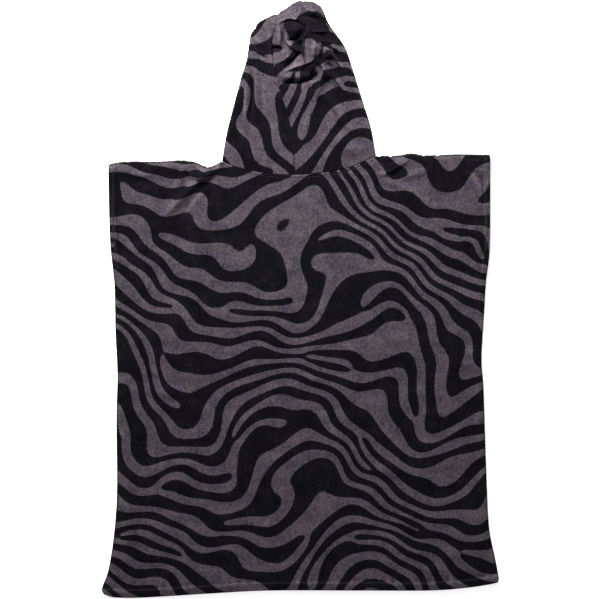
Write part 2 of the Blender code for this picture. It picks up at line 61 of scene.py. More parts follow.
def aim(thing, target):
    """Turn a light so that its -Z points at the target."""
    thing.rotation_euler = (Vector(target) - thing.location).to_track_quat("-Z", "Y").to_euler()


def add_light(name, place, target, size, watts):
    """A round light of this width at its place, that faces the target."""
    lamp = bpy.data.lights.new(name, "AREA")
    lamp.shape = "DISK"
    lamp.size = size
    lamp.energy = watts
    thing = bpy.data.objects.new(name, lamp)
    thing.location = place
    bpy.context.scene.collection.objects.link(thing)
    aim(thing, target)


lens = bpy.data.cameras.new("camera")
lens.sensor_width = SENSOR_WIDTH
lens.lens = SENSOR_WIDTH * CAMERA_HEIGHT / VIEW_WIDTH
camera = bpy.data.objects.new("camera", lens)
camera.location = (0.0, 0.0, CAMERA_HEIGHT)
bpy.context.scene.collection.objects.link(camera)
bpy.context.scene.camera = camera

add_light("light_above_the_hood", (-0.45, 1.75, 1.15), target=(0.0, 0.15, 0.0), size=0.7, watts=140.0)

room = bpy.data.worlds.new("room")
room.use_nodes = True
room.node_tree.nodes["Background"].inputs["Color"].default_value = (1.0, 1.0, 1.0, 1.0)
room.node_tree.nodes["Background"].inputs["Strength"].default_value = ROOM_LIGHT
bpy.context.scene.world = room

floor_mesh = bpy.data.meshes.new("floor")
floor_corners = [(x * FLOOR_REACH, y * FLOOR_REACH, 0.0) for x, y in ((-1, -1), (1, -1), (1, 1), (-1, 1))]
floor_mesh.from_pydata(floor_corners, [], [(0, 1, 2, 3)])
floor = bpy.data.objects.new("floor", floor_mesh)
bpy.context.scene.collection.objects.link(floor)
paper = bpy.data.materials.new("white_paper")
paper.use_nodes = True
paper_sockets = paper.node_tree.nodes["Principled BSDF"].inputs
paper_sockets["Base Color"].default_value = (0.93, 0.93, 0.93, 1.0)
paper_sockets["Roughness"].default_value = 0.9
paper_sockets["Emission Color"].default_value = (1.0, 1.0, 1.0, 1.0)
paper_sockets["Emission Strength"].default_value = FLOOR_GLOW
floor_mesh.materials.append(paper)

# ---------------------------------------------------------------------------------------------------
# Back panel: one piece of cotton velour terry, sheared outside and looped inside, printed all over.
# It lies on the front panel, is sewn to it down the sides and along the shoulders, has its hem and
# armholes turned in and stitched, and holds the hood's seam allowance under a row of topstitching.
MM = 0.001
CLOTH = 2.4  # mm, as every size below
GAP = 0.3
HEM_DEPTH = 15.0
HEM_STITCH = 16.5
ARMHOLE_HEM = 10.0
HEM_THICKER = 0.7
HEM_SLOPE = 5.0
HEM_LIFT = 0.5
ARMHOLE_FOOT = 58.0
ARMHOLE_BLEND = 16.0
SEAM_RISE = 2.6
SEAM_ROLL = 8.0
SHOULDER_SEAM = 150.0
SHOULDER_BLEND = 20.0
NECK_STITCH = 6.0
NECK_RIDGE = 1.5
EDGE_BULGE = 1.4  # how far a rounded edge stands out past the flat of the cloth
FLAT_MARGIN = 14.0
DEEPEST_TROUGH = -1.2
WAVE_RISE = 0.9
STITCH_SINK = 1.3  # how deep a row of stitches pulls the pile down
PUCKER_RISE = 0.4
SEAM_PUCKER = 1.6  # how much more the sewn edges pucker than the stitched rows do

# The outlines are curves through points (x, y), about the middle of the view.
LEFT_EDGE = (
    (-391, -590), (-396, -578), (-383, -540), (-372, -470), (-366, -380), (-367, -240),
    (-365, -150), (-369, -60), (-371, 30), (-379, 110), (-382, 200), (-383, 266),
)
RIGHT_EDGE = (
    (395, -566), (397, -554), (389, -512), (378, -455), (373, -360), (367, -180),
    (363, -120), (368, -30), (372, 35), (379, 100), (380, 200), (380, 287),
)
HEM_EDGE = (
    (-391, -590), (-368, -596), (-310, -596), (-180, -588), (-60, -582), (120, -582),
    (260, -582), (330, -577), (372, -571), (395, -566),
)
LEFT_SHOULDER = (
    (-383, 266), (-368, 271), (-335, 274), (-290, 273), (-240, 276), (-212, 273),
    (-190, 264), (-174, 267), (-156, 276),
)
RIGHT_SHOULDER = (
    (152, 286), (170, 285), (200, 286), (221, 290), (251, 286), (310, 288),
    (380, 287),
)
BACK_NECK = (
    (-156, 276), (-131, 265), (-78, 253), (-20, 248), (48, 253), (101, 264),
    (152, 286),
)
NECK_SHARE = (0.30, 0.69)

# A crest from its start through its middle to its end. It reaches `left` and `right` to its two sides,
# and leans `lean` over its right one; `hidden` is the cloth that it takes out of sight there.
Fold = namedtuple("Fold", "x1 y1 x2 y2 x3 y3 height left right lean hidden", defaults=(0.0, 0.0))
BACK_FOLDS = (
    Fold(-180, 264, -222, 222, -290, 150, 6.5, 9, 15, -2, -8),
    Fold(-168, 250, -204, 210, -262, 140, -2.0, 6, 6),
    Fold(-225, 262, -204, 246, -166, 254, 5.5, 10, 6, 3, 6),
    Fold(-187, 226, -207, 199, -236, 163, 3.6, 5, 6, 1, 2),
    Fold(-196, 204, -216, 186, -248, 158, -1.2, 4, 4),
    Fold(-174, 196, -182, 184, -190, 168, 2.2, 5, 5),
    Fold(-262, 152, -280, 132, -302, 104, 2.4, 6, 5, 1, 2),
    Fold(-158, 264, -172, 257, -192, 256, 3.5, 4, 4, 1.5, 4),
    Fold(-208, 268, -196, 258, -178, 248, 3.0, 4, 4, 1.5, 4),
    Fold(-243, 268, -237, 252, -222, 236, 2.2, 5, 5),
    Fold(-232, 268, -240, 244, -262, 214, 2.2, 7, 7),
    Fold(-344, 256, -318, 249, -292, 254, 3.5, 10, 6, 1, 3),
    Fold(-330, 244, -300, 236, -268, 240, -1.5, 5, 6),
    Fold(156, 250, 182, 259, 216, 282, 5.5, 7, 5, 3, 6),
    Fold(158, 264, 178, 269, 206, 284, 3.5, 4, 4, 2, 4),
    Fold(196, 246, 224, 250, 262, 262, 3.0, 9, 6, 1, 3),
    Fold(322, 277, 350, 276, 376, 275, 2.0, 3, 3),
    Fold(328, 269, 352, 268, 376, 267, 2.4, 3, 3),
    Fold(338, 261, 356, 259, 376, 258, 2.0, 3, 3),
    Fold(350, 252, 362, 250, 374, 249, 1.5, 3, 3),
    Fold(328, 216, 336, 220, 345, 225, -1.2, 3, 3),
    Fold(325, 191, 336, 195, 347, 198, -1.2, 3, 3),
    Fold(329, 133, 345, 125, 362, 120, -1.2, 3, 3, 0, 2),
    Fold(158, 240, 205, 226, 268, 190, 3.0, 12, 11, 1, 4),
    Fold(150, 224, 180, 214, 210, 196, 1.5, 7, 7),
    Fold(322, 256, 350, 240, 366, 196, 3.0, 8, 9),
    Fold(330, 276, 352, 262, 374, 250, 1.6, 5, 5),
    Fold(333, 140, 352, 130, 368, 116, 2.4, 6, 5, 1, 3),
    Fold(-364, 96, -350, 84, -330, 80, 1.8, 6, 7),
    Fold(-352, -560, -352, -470, -340, -380, 3.2, 20, 18),
    Fold(352, -540, 352, -460, 340, -370, 3.2, 18, 20),
    Fold(-300, -92, -230, -128, -160, -150, 2.2, 14, 18),
    Fold(-316, -176, -262, -186, -210, -182, 1.4, 12, 10),
    Fold(280, -78, 325, -100, 362, -104, 2.6, 12, 14),
    Fold(300, -132, 336, -126, 360, -134, 1.2, 7, 7),
    Fold(-285, -255, -286, -350, -284, -446, -1.2, 3, 3),
    Fold(-110, -216, 0, -222, 110, -212, -0.7, 5, 5),
    Fold(170, -330, 214, -342, 262, -330, 1.2, 14, 14),
    Fold(-20, -470, 40, -486, 110, -480, 1.3, 16, 15),
    Fold(40, 60, 96, 40, 150, 44, 1.2, 16, 16),
)


def smoothstep(low, high, value):
    """0 below `low`, 1 above `high`, and 3 s^2 - 2 s^3 between, where s is the share of the way."""
    share = np.clip((value - low) / (high - low), 0.0, 1.0)
    return share * share * (3.0 - 2.0 * share)


def bell(distance, reach):
    """exp(-(distance / reach)^2): 1 at no distance, and nearly 0 at twice the reach."""
    return np.exp(-((distance / reach) ** 2))


def runs(points):
    """How far along a polyline each of its points is."""
    return np.concatenate([[0.0], np.cumsum(np.linalg.norm(np.diff(points, axis=0), axis=1))])


def read_off(wanted, marks, values):
    """Rows of numbers at `wanted`, between the rows that stand at `marks`."""
    return np.stack([np.interp(wanted, marks, column) for column in values.T], axis=-1)


def along(rows, shares):
    """Points at these shares of the length of the Catmull-Rom curve through the rows."""
    knots = np.array(rows, float)
    ends = np.vstack([2 * knots[0] - knots[1], knots, 2 * knots[-1] - knots[-2]])
    part = np.linspace(0.0, 1.0, 24, endpoint=False)[:, None]
    spans = []
    for before, start, end, after in zip(ends[:-3], ends[1:-2], ends[2:-1], ends[3:], strict=True):
        curve = 2 * start + (end - before) * part
        curve = curve + (2 * before - 5 * start + 4 * end - after) * part**2
        curve = curve + (3 * start - before - 3 * end + after) * part**3
        spans.append(curve / 2)
    fine = np.vstack([*spans, knots[-1:]])
    run = runs(fine)
    return read_off(np.asarray(shares, float) * run[-1], run, fine)


def fine_curve(rows):
    """The curve through the rows, as 160 even points."""
    return along(rows, np.linspace(0, 1, 160))


def beside(points, distance):
    """A curve moved sideways in plan, to the left of the way it runs."""
    heading = np.gradient(points, axis=0)
    normal = np.stack([-heading[:, 1], heading[:, 0]], axis=-1)
    return points + np.asarray(distance)[..., None] * normal / np.linalg.norm(normal, axis=1)[:, None]


def distance_to(curve, x, y):
    """How far each point is from a polyline."""
    away = np.stack([x, y], axis=-1)[..., None, :] - curve[:-1]
    span = np.diff(curve, axis=0)
    share = np.clip((away * span).sum(-1) / (span**2).sum(-1), 0.0, 1.0)
    return np.linalg.norm(away - share[..., None] * span, axis=-1).min(-1)


def patch(bottom, top, left, right, across, up):
    """A Coons patch: points [row, column] in plan that fill the space between four edges."""
    u = np.asarray(across)[None, :, None]
    v = np.asarray(up)[:, None, None]
    ruled = (1 - v) * bottom[None] + v * top[None] + (1 - u) * left[:, None] + u * right[:, None]
    corners = (1 - v) * ((1 - u) * bottom[0] + u * bottom[-1]) + v * ((1 - u) * top[0] + u * top[-1])
    return ruled - corners


def ripple(x, y, size, seed, waves=7):
    """Smooth uneven waves: a sum of sines about `size` long, each with its own heading and phase."""
    dice = np.random.default_rng(seed)
    total = np.zeros_like(x)
    for _ in range(waves):
        heading, phase = dice.uniform(0, 2 * np.pi, 2)
        run = (x * np.cos(heading) + y * np.sin(heading)) / (size * dice.uniform(0.7, 1.4))
        total += np.sin(2 * np.pi * run + phase)
    return total / np.sqrt(waves / 2)


def raise_folds(x, y, folds):
    """(height, move, hidden): how high the folds stand, their lean in plan, and the print's shift.

    Across a crest the height is a bell, and across a trough, whose height is negative, it falls to a
    sharp line, as exp(-distance). Both die out at the ends. Each point's move and its print's shift are
    along the crest's right-hand normal, and the shift holds on beyond the crest, on that side.
    """
    height = np.zeros_like(x)
    move = np.zeros((*x.shape, 2))
    hidden = np.zeros((*x.shape, 2))
    steps = np.linspace(0.0, 1.0, 33)
    for fold in folds:
        start, middle, end = np.array([(fold.x1, fold.y1), (fold.x2, fold.y2), (fold.x3, fold.y3)], float)
        bend = 2 * middle - (start + end) / 2
        crest = (1 - steps)[:, None] ** 2 * start + 2 * ((1 - steps) * steps)[:, None] * bend
        crest = crest + steps[:, None] ** 2 * end
        low, high = crest.min(axis=0) - 90, crest.max(axis=0) + 90
        near = (x > low[0]) & (x < high[0]) & (y > low[1]) & (y < high[1])
        span = np.diff(crest, axis=0)
        away = np.stack([x[near], y[near]], axis=-1)[:, None, :] - crest[:-1]
        share = np.clip((away * span).sum(-1) / (span**2).sum(-1), 0.0, 1.0)
        offsets = away - share[..., None] * span
        nearest = np.argmin((offsets**2).sum(-1), axis=-1)[:, None]
        offset = np.take_along_axis(offsets, nearest[..., None], axis=1)[:, 0]
        along_crest = (nearest[:, 0] + np.take_along_axis(share, nearest, axis=1)[:, 0]) / len(span)
        heading = read_off(along_crest, steps, np.gradient(crest, axis=0))
        heading /= np.linalg.norm(heading, axis=1)[:, None]
        right = np.stack([heading[:, 1], -heading[:, 0]], axis=-1)
        side = (offset * right).sum(-1)
        distance = np.linalg.norm(offset, axis=-1) / np.where(side > 0, fold.right, fold.left)
        alive = np.sin(np.pi * np.clip(along_crest, 0.02, 0.98)) ** 0.6
        fall = bell(distance, 1.0) if fold.height > 0 else np.exp(-distance * np.sqrt(distance + 0.3))
        height[near] += fold.height * alive * fall
        move[near] += (fold.lean * alive * fall)[:, None] * right
        taken = fold.hidden * alive * smoothstep(0, fold.right, side) * bell(np.abs(side), 50.0)
        hidden[near] += taken[:, None] * right
    return height, move, hidden


PRINT_PERIOD = 52.0  # one dark and one light stripe
PRINT_SLANT = 0.15
PRINT_FORKS = 122.0  # between two forks, on average
FORK_SHARE = 0.85  # of the places for a fork that have one
FORK_REACH = 5.0
PRINT_SWIRLS = 290.0  # between two swirls
SWIRL_REACH = 145.0
SWIRL_TURN = 1.15  # radians, at the centre of a middling swirl
BEND, BEND_LENGTH = 24, 330  # how far a ripple bends the stripes, and its own length
SMALL_BEND, SMALL_BEND_LENGTH = 9, 110
SWELL, SWELL_LENGTH = 0.22, 120  # of the stripes' widths
DARKER = 0.10  # makes the dark stripes a little wider than the light ones


def swirled(u, v, dice):
    """The places u, v turned about a staggered lattice of centres, by less with the distance from each."""
    for column in range(-3, 4):
        for row in range(-4, 4):
            centre = (np.array([column + 0.5 * (row % 2), row]) + dice.uniform(-0.3, 0.3, 2)) * PRINT_SWIRLS
            angle = SWIRL_TURN * dice.uniform(0.6, 1.2) * (1 if (column + row) % 2 else -1)
            across, up = u - centre[0], v - centre[1]
            turn = angle * bell(np.hypot(across, up), SWIRL_REACH)
            u = centre[0] + across * np.cos(turn) - up * np.sin(turn)
            v = centre[1] + across * np.sin(turn) + up * np.cos(turn)
    return u, v


def stripes(u, v, seed=11):
    """The print, above 0 where it is light: stripes that swirl and fork, as in marbled paper.

    It is the cosine of a phase that grows by a turn for each period up the swirled cloth, is bent by
    two sizes of ripple, and turns once round each fork, one way or the other by turns.
    """
    dice = np.random.default_rng(seed)
    across, up = swirled(u, v, np.random.default_rng(seed + 9))
    bend = BEND * ripple(u, v, BEND_LENGTH, seed + 1)
    bend = bend + SMALL_BEND * ripple(u, v, SMALL_BEND_LENGTH, seed + 2)
    phase = 2 * np.pi * (up + PRINT_SLANT * across + bend) / PRINT_PERIOD
    calm = np.ones_like(u)
    for column in range(-8, 9):
        for row in range(-8, 9):
            x, y = (np.array([column, row]) + dice.uniform(-0.35, 0.35, 2)) * PRINT_FORKS
            if dice.uniform() < FORK_SHARE:
                phase += (1 if (column + row) % 2 else -1) * np.arctan2(v - y, u - x)
                calm *= np.tanh(np.hypot(u - x, v - y) / FORK_REACH)
    return np.cos(phase) * calm + SWELL * ripple(u, v, SWELL_LENGTH, seed + 3) - DARKER


def marks(length, near, far, spacing, fine_from=None, fine=None):
    """Distances along a length: `near` ones, `far` ones back from its end, and even ones between."""
    start, stop = near[-1], length - far[0]
    if fine_from is None:
        middle = np.linspace(start, stop, max(2, round((stop - start) / spacing)))
    else:
        turn = length - fine_from
        coarse = np.linspace(start, turn, round((turn - start) / spacing))[:-1]
        middle = np.concatenate([coarse, np.linspace(turn, stop, round((stop - turn) / fine))])
    return np.concatenate([near[:-1], middle, length - np.array(far[1:])])


# Where the grids' rows and columns lie beside an edge, closer together at a stitched row.
HEM_MARKS = (1.4, 3, 5, 8, 11, 13.5, 15.3, 16.5, 17.7, 19.5, 22, 26)
SIDE_MARKS = (1.4, 3, 5, 7.5, 9, 10, 11, 12.5, 15, 18, 22)
TOP_MARKS = (22, 18, 15, 12.5, 10.5, 8.8, 7.4, 6, 4.6, 3, 1.4)
SHOULDER_FOLDS = 150.0  # from the shoulders down, where the rows are closer


def panel_plan(neck_rows, spacing, fine):
    """A body panel in plan, and each point's distance from its left, right, lower and upper edge.

    It is a Coons patch between the four edges. The front panel's neckline is drawn down from the back's
    over half the height, so that the two panels share one plan everywhere else.
    """
    width, height = (runs(along(edge, np.linspace(0, 1, 200)))[-1] for edge in (HEM_EDGE, LEFT_EDGE))
    across = np.array([0, *marks(width, SIDE_MARKS, SIDE_MARKS[::-1], spacing) / width, 1])
    up = np.array([0, *marks(height, HEM_MARKS, TOP_MARKS, spacing, SHOULDER_FOLDS, fine) / height, 1])
    start, end = NECK_SHARE
    top = np.vstack(
        [
            along(LEFT_SHOULDER, across[across < start] / start),
            along(BACK_NECK, (across[(across >= start) & (across <= end)] - start) / (end - start)),
            along(RIGHT_SHOULDER, (across[across > end] - end) / (1 - end)),
        ]
    )
    plan = patch(along(HEM_EDGE, across), top, along(LEFT_EDGE, up), along(RIGHT_EDGE, up), across, up)
    neck = (across >= start) & (across <= end)
    shares = (across[neck] - start) / (end - start)
    drawn = along(neck_rows, shares) - along(BACK_NECK, shares)
    plan[:, neck] += smoothstep(0.5, 1, up)[:, None, None] * drawn
    from_sides = plan[..., 0] - plan[:, :1, 0], plan[:, -1:, 0] - plan[..., 0]
    from_ends = plan[..., 1] - plan[:1, :, 1], plan[-1:, :, 1] - plan[..., 1]
    return plan[1:-1, 1:-1], [distance[1:-1, 1:-1] for distance in (*from_sides, *from_ends)]


def seam_roll(distance):
    """0 at a seam, 1 at SEAM_ROLL from it, and back to 0 further in: x * exp(1 - x)."""
    share = np.maximum(distance, 0.0) / SEAM_ROLL
    return share * np.exp(1 - share)


def armhole_share(y):
    """1 beside the armholes and 0 below them, with a smooth step at their foot."""
    return smoothstep(ARMHOLE_FOOT - ARMHOLE_BLEND, ARMHOLE_FOOT, y)


def turned_edges(plan, distances):
    """1 where the cloth is turned and doubled, at the hem and the armholes, and 0 on the plain cloth."""
    side = armhole_share(plan[..., 1])
    side = side * (1 - smoothstep(ARMHOLE_HEM, ARMHOLE_HEM + HEM_SLOPE, np.minimum(*distances[:2])))
    return np.maximum(side, 1 - smoothstep(HEM_DEPTH, HEM_DEPTH + HEM_SLOPE, distances[2]))


def cloth_normals(points):
    """Unit normals of a grid of points, from the differences along its rows and columns."""
    normals = np.cross(np.gradient(points, axis=1), np.gradient(points, axis=0))
    return normals / np.maximum(np.linalg.norm(normals, axis=-1), 1e-9)[..., None]


def relief_of(height):
    """How far each point of a grid stands above (to 1) or below (to -1) the mean of its surroundings."""
    soft = height
    for _ in range(6):
        wide = np.pad(soft, 1, mode="edge")
        soft = (soft + wide[:-2, 1:-1] + wide[2:, 1:-1] + wide[1:-1, :-2] + wide[1:-1, 2:]) / 5
    return np.clip((height - soft) / 0.8, -1.0, 1.0)


def cloth_piece(name, outer, inner, light, bulge=EDGE_BULGE):
    """A closed wall of cloth between two grids of points [row, column], with a rounded rim.

    The rim is half a turn from the outer grid's border to the inner one's, in three steps, which stands
    out by `bulge`. The outer grid's quads are halved along the print, so that its borders are smooth.
    `light` is the print at each point. Rows run up and columns to the right, seen from the outer side.
    """
    rows, columns = outer.shape[:2]
    count = rows * columns
    index = np.arange(count).reshape(rows, columns)
    quads = np.stack([index[:-1, :-1], index[:-1, 1:], index[1:, 1:], index[1:, :-1]], axis=-1).reshape(-1, 4)
    colour = light.ravel()[quads]
    along_print = np.abs(colour[:, 0] - colour[:, 2]) <= np.abs(colour[:, 1] - colour[:, 3])
    halves = np.where(along_print[:, None], quads[:, [0, 1, 2, 0, 2, 3]], quads[:, [0, 1, 3, 1, 2, 3]])
    border = np.concatenate([index[0, :-1], index[:-1, -1], index[-1, :0:-1], index[:0:-1, 0]])
    inward = np.pad(index[1:-1, 1:-1], 1, mode="edge").ravel()[border]
    middle = ((outer + inner) / 2).reshape(-1, 3)
    half = ((outer - inner) / 2).reshape(-1, 3)[border]
    out = middle[border] - middle[inward]
    out /= np.maximum(np.linalg.norm(out, axis=1), 1e-9)[:, None]
    turns = np.radians([45.0, 90.0, 135.0])
    rim = [middle[border] + half * np.cos(turn) + out * bulge * np.sin(turn) for turn in turns]
    points = np.vstack([outer.reshape(-1, 3), inner.reshape(-1, 3), *rim]) * MM + origin
    rim_loops = [2 * count + step * len(border) + np.arange(len(border)) for step in range(3)]
    loops = [border, *rim_loops, border + count]
    band = [
        np.stack([near, far, np.roll(far, -1), np.roll(near, -1)], axis=-1)
        for near, far in zip(loops[:-1], loops[1:], strict=True)
    ]
    faces = halves.reshape(-1, 3).tolist() + np.vstack([quads[:, ::-1] + count, *band]).tolist()
    mesh = bpy.data.meshes.new(name)
    mesh.from_pydata(points.tolist(), [], faces)
    source = np.concatenate([np.arange(count), np.arange(count), np.tile(border, 3)])
    inside = np.concatenate([np.zeros(count), np.ones(count), np.repeat([0.0, 0.0, 1.0], len(border))])
    # Painted shade of the folds: how far each point stands above its surroundings, which the material paints
    # as a lighter colour on crests and a darker one in creases.
    painted_fold_shade = relief_of(outer[..., 2]).ravel()[source]
    for label, values in (("light", light.ravel()[source]), ("inside", inside), ("painted_fold_shade", painted_fold_shade)):
        mesh.attributes.new(label, "FLOAT", "POINT").data.foreach_set("value", values.astype(np.float32))
    mesh.shade_smooth()
    piece = bpy.data.objects.new(name, mesh)
    bpy.context.scene.collection.objects.link(piece)
    return piece


class Wire:
    """One output of a shader node. Arithmetic on it adds Math nodes."""

    def __init__(self, tree, output=None):
        self.tree, self.output = tree, output

    def node(self, kind, settings=None, sockets=None, give=0):
        """Add a node: its settings first, then a value or a Wire for each socket, and give an output."""
        made = self.tree.nodes.new(kind)
        for name, value in (settings or {}).items():
            setattr(made, name, value)
        for name, value in (sockets or {}).items():
            if isinstance(value, Wire):
                self.tree.links.new(value.output, made.inputs[name])
            else:
                made.inputs[name].default_value = value
        return Wire(self.tree, made.outputs[give])

    def math(self, operation, first, second=0.0):
        return self.node("ShaderNodeMath", {"operation": operation}, {0: first, 1: second})

    def __add__(self, other):
        return self.math("ADD", self, other)

    def __mul__(self, other):
        return self.math("MULTIPLY", self, other)

    def __sub__(self, other):
        return self.math("SUBTRACT", self, other)

    def __rsub__(self, other):
        return self.math("SUBTRACT", other, self)

    __radd__, __rmul__ = __add__, __mul__

    def step(self, low, high):
        """0 below `low`, 1 above `high` and smooth between."""
        settings = {"interpolation_type": "SMOOTHSTEP"}
        return self.node("ShaderNodeMapRange", settings, {"Value": self, "From Min": low, "From Max": high})

    def blend(self, first, second):
        """A mix of two colours, by this Wire as the share of the second."""
        sockets = {"Factor": self, "A": first, "B": second}
        made = self.tree.nodes.new("ShaderNodeMix")
        made.data_type = "RGBA"
        for socket in made.inputs:
            if socket.enabled and socket.name in sockets:
                value = sockets[socket.name]
                if isinstance(value, Wire):
                    self.tree.links.new(value.output, socket)
                else:
                    socket.default_value = value
        return Wire(self.tree, next(socket for socket in made.outputs if socket.enabled))

    def times(self, share):
        """This colour, scaled by a value."""
        sockets = {0: self, "Scale": share}
        return self.node("ShaderNodeVectorMath", {"operation": "SCALE"}, sockets)

    def noise(self, place, scale, detail=2.0, stretch=(1.0, 1.0, 1.0)):
        """Noise from 0 to 1, with `scale` patches to a metre, after the place is stretched."""
        scaled = self.node("ShaderNodeVectorMath", {"operation": "MULTIPLY"}, {0: place, 1: stretch})
        return self.node("ShaderNodeTexNoise", None, {"Vector": scaled, "Scale": scale, "Detail": detail})


LIGHT_PILE = (0.0418, 0.0346, 0.0452, 1.0)
LIGHT_PILE_WARM = (0.0473, 0.0370, 0.0428, 1.0)
DARK_PILE = (0.0021, 0.0018, 0.0029, 1.0)
DARK_PILE_WORN = (0.0040, 0.0036, 0.0050, 1.0)
LOOPS = (0.020, 0.015, 0.015, 1.0)
NAP_MEAN = 1.9  # of the sum of the nap's noises
NAP_CONTRAST = 1.45
# How strongly the colour is painted lighter on fold crests and darker in creases: painted highlight and
# painted shade.
PAINTED_FOLD_SHADE_STRENGTH = 0.42


def velour_material(name):
    """Printed velour: dark and mauve-grey pile with soft borders, mottled by the nap, and loops inside.

    The nap is a sum of noises: tufts, a finer grain, rows down the cloth, mottle, and wide patches where
    it was brushed. Painted highlight and painted shade come on top of it: the colour is made paler on the
    crests of folds and darker in the creases, by how far each point stands above its surroundings.
    """
    material = bpy.data.materials.new(name)
    material.use_nodes = True
    shader = material.node_tree.nodes["Principled BSDF"]
    start = Wire(material.node_tree)
    place = start.node("ShaderNodeTexCoord", give=3)
    light = start.node("ShaderNodeAttribute", {"attribute_name": "light"}, give=2)
    inside = start.node("ShaderNodeAttribute", {"attribute_name": "inside"}, give=2)
    tufts = start.noise(place, 430.0, 3.0)
    grain = start.noise(place, 1100.0, 2.0)
    rows = start.noise(place, 480.0, 2.0, (1.0, 0.10, 1.0))
    mottle = start.noise(place, 240.0, 3.0)
    patches = start.noise(place, 38.0, 3.0)
    printed = (light + (tufts - 0.5) * 0.24 + (grain - 0.5) * 0.16).step(-0.09, 0.09)
    pile = patches.step(0.36, 0.66).blend(LIGHT_PILE, LIGHT_PILE_WARM)
    dark = (patches * 0.4 + rows * 0.25 + tufts * 0.35).step(0.40, 0.66).blend(DARK_PILE, DARK_PILE_WORN)
    nap = tufts * 1.1 + mottle * 1.3 + rows * 0.5 + grain * 0.4 + patches * 0.5
    # Painted highlight and painted shade of the folds, multiplied into the nap's mottle.
    painted_fold_shade = start.node("ShaderNodeAttribute", {"attribute_name": "painted_fold_shade"}, give=2)
    shade = ((nap - NAP_MEAN) * NAP_CONTRAST + 1.0) * (painted_fold_shade * PAINTED_FOLD_SHADE_STRENGTH + 1.0)
    looped = start.node("ShaderNodeTexVoronoi", {"feature": "SMOOTH_F1"}, {"Vector": place, "Scale": 640.0})
    colour = inside.blend(printed.blend(dark, pile), LOOPS).times(shade)
    start.tree.links.new(colour.output, shader.inputs["Base Color"])
    height = rows * 0.4 + grain * 0.5 + tufts * 0.8 + inside * looped * -1.2
    bump = start.node("ShaderNodeBump", None, {"Strength": 0.6, "Distance": 0.0012, "Height": height})
    start.tree.links.new(bump.output, shader.inputs["Normal"])
    shader.inputs["Roughness"].default_value = 0.93
    shader.inputs["Specular IOR Level"].default_value = 0.03
    shader.inputs["Sheen Weight"].default_value = 0.025
    shader.inputs["Sheen Roughness"].default_value = 0.5
    shader.inputs["Sheen Tint"].default_value = (0.8, 0.72, 0.82, 1.0)
    return material


velour = velour_material("printed_velour")


def dressed(cloth, node, material=velour):
    """Give a piece its material and let it stand for its node, on the one body."""
    cloth.data.materials.append(material)
    if node:
        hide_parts(node)
    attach(cloth, "root")
    return cloth


# The outlines are drawn about the middle of the view, and the frame says how far its own middle is off.
front_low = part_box("front_panel")[0]
outline = np.vstack([along(edge, np.linspace(0, 1, 300)) for edge in (LEFT_EDGE, RIGHT_EDGE, HEM_EDGE)])
origin = np.array([*(np.array(front_low[:2]) - outline.min(axis=0) * MM), 0.0])

back_plan, back_distances = panel_plan(BACK_NECK, spacing=4.4, fine=3.2)
x, y = back_plan[..., 0], back_plan[..., 1]
from_left, from_right, from_hem, from_top = back_distances
from_side = np.minimum(from_left, from_right)
turned = turned_edges(back_plan, back_distances)
by_neck = 1 - smoothstep(SHOULDER_SEAM - 4, SHOULDER_SEAM + 8, np.abs(x))
shoulder_seam = smoothstep(SHOULDER_SEAM, SHOULDER_SEAM + SHOULDER_BLEND, np.abs(x))
by_armhole = armhole_share(y)
rolls = np.maximum((1 - by_armhole) * seam_roll(from_side), shoulder_seam * seam_roll(from_top))
fold_height, fold_move, fold_hidden = raise_folds(x, y, BACK_FOLDS)
inside_edges = smoothstep(0, FLAT_MARGIN, np.minimum.reduce(back_distances))
waves = WAVE_RISE + 0.55 * ripple(x, y, 120, 41) + 0.3 * ripple(x, y, 46, 42)
neck_ridge = NECK_RIDGE * by_neck * (1 - smoothstep(NECK_STITCH - 1, NECK_STITCH + 5, from_top))
stitched = (
    bell(from_hem - HEM_STITCH, 1.6)
    + by_neck * bell(from_top - NECK_STITCH, 1.4)
    + by_armhole * bell(from_side - ARMHOLE_HEM, 1.4)
)
# Each pucker's reach from its seam, and its waves' length along it.
pucker = (
    bell(from_hem - HEM_STITCH, 9.0) * ripple(x, 0 * y, 13, 43)
    + by_armhole * bell(from_side - ARMHOLE_HEM, 7.0) * ripple(0 * x, y, 12, 44)
    + by_neck * bell(from_top - NECK_STITCH, 7.0) * ripple(x, 0 * y, 12, 45)
    + (1 - by_armhole) * bell(from_side, 12.0) * ripple(0 * x, y, 34, 46) * SEAM_PUCKER
    + shoulder_seam * bell(from_top, 12.0) * ripple(x, 0 * y, 30, 47) * SEAM_PUCKER
)
lift = SEAM_RISE * rolls + inside_edges * (np.maximum(fold_height, DEEPEST_TROUGH) + waves)
lift = np.maximum(lift + neck_ridge + PUCKER_RISE * pucker, 0.0) + HEM_LIFT * turned
back_under = CLOTH * (1 + HEM_THICKER * turned) + GAP + lift
back_over = back_under + CLOTH * (1 + HEM_THICKER * turned) - STITCH_SINK * stitched


def at_height(plan, height):
    """Points in plan, lifted to their heights."""
    return np.concatenate([plan, np.broadcast_to(height, plan.shape[:-1])[..., None]], axis=-1)


moved = back_plan + inside_edges[..., None] * fold_move
back_flat = back_plan + fold_hidden
back_outer = at_height(moved, back_over)
back_light = stripes(back_flat[..., 0], back_flat[..., 1])
back_cloth = cloth_piece("back_cloth", back_outer, at_height(moved, back_under), back_light)
dressed(back_cloth, "back_panel")


def spread(path, spacing):
    """Points at even distances along a path in space, with the path's heading at each."""
    run = runs(path)
    wanted = np.arange(spacing / 2, run[-1], spacing)
    points, ahead = (read_off(wanted + step, run, path) for step in (0.0, 0.5))
    heading = ahead - points
    return points, heading / np.maximum(np.linalg.norm(heading, axis=1), 1e-9)[:, None]


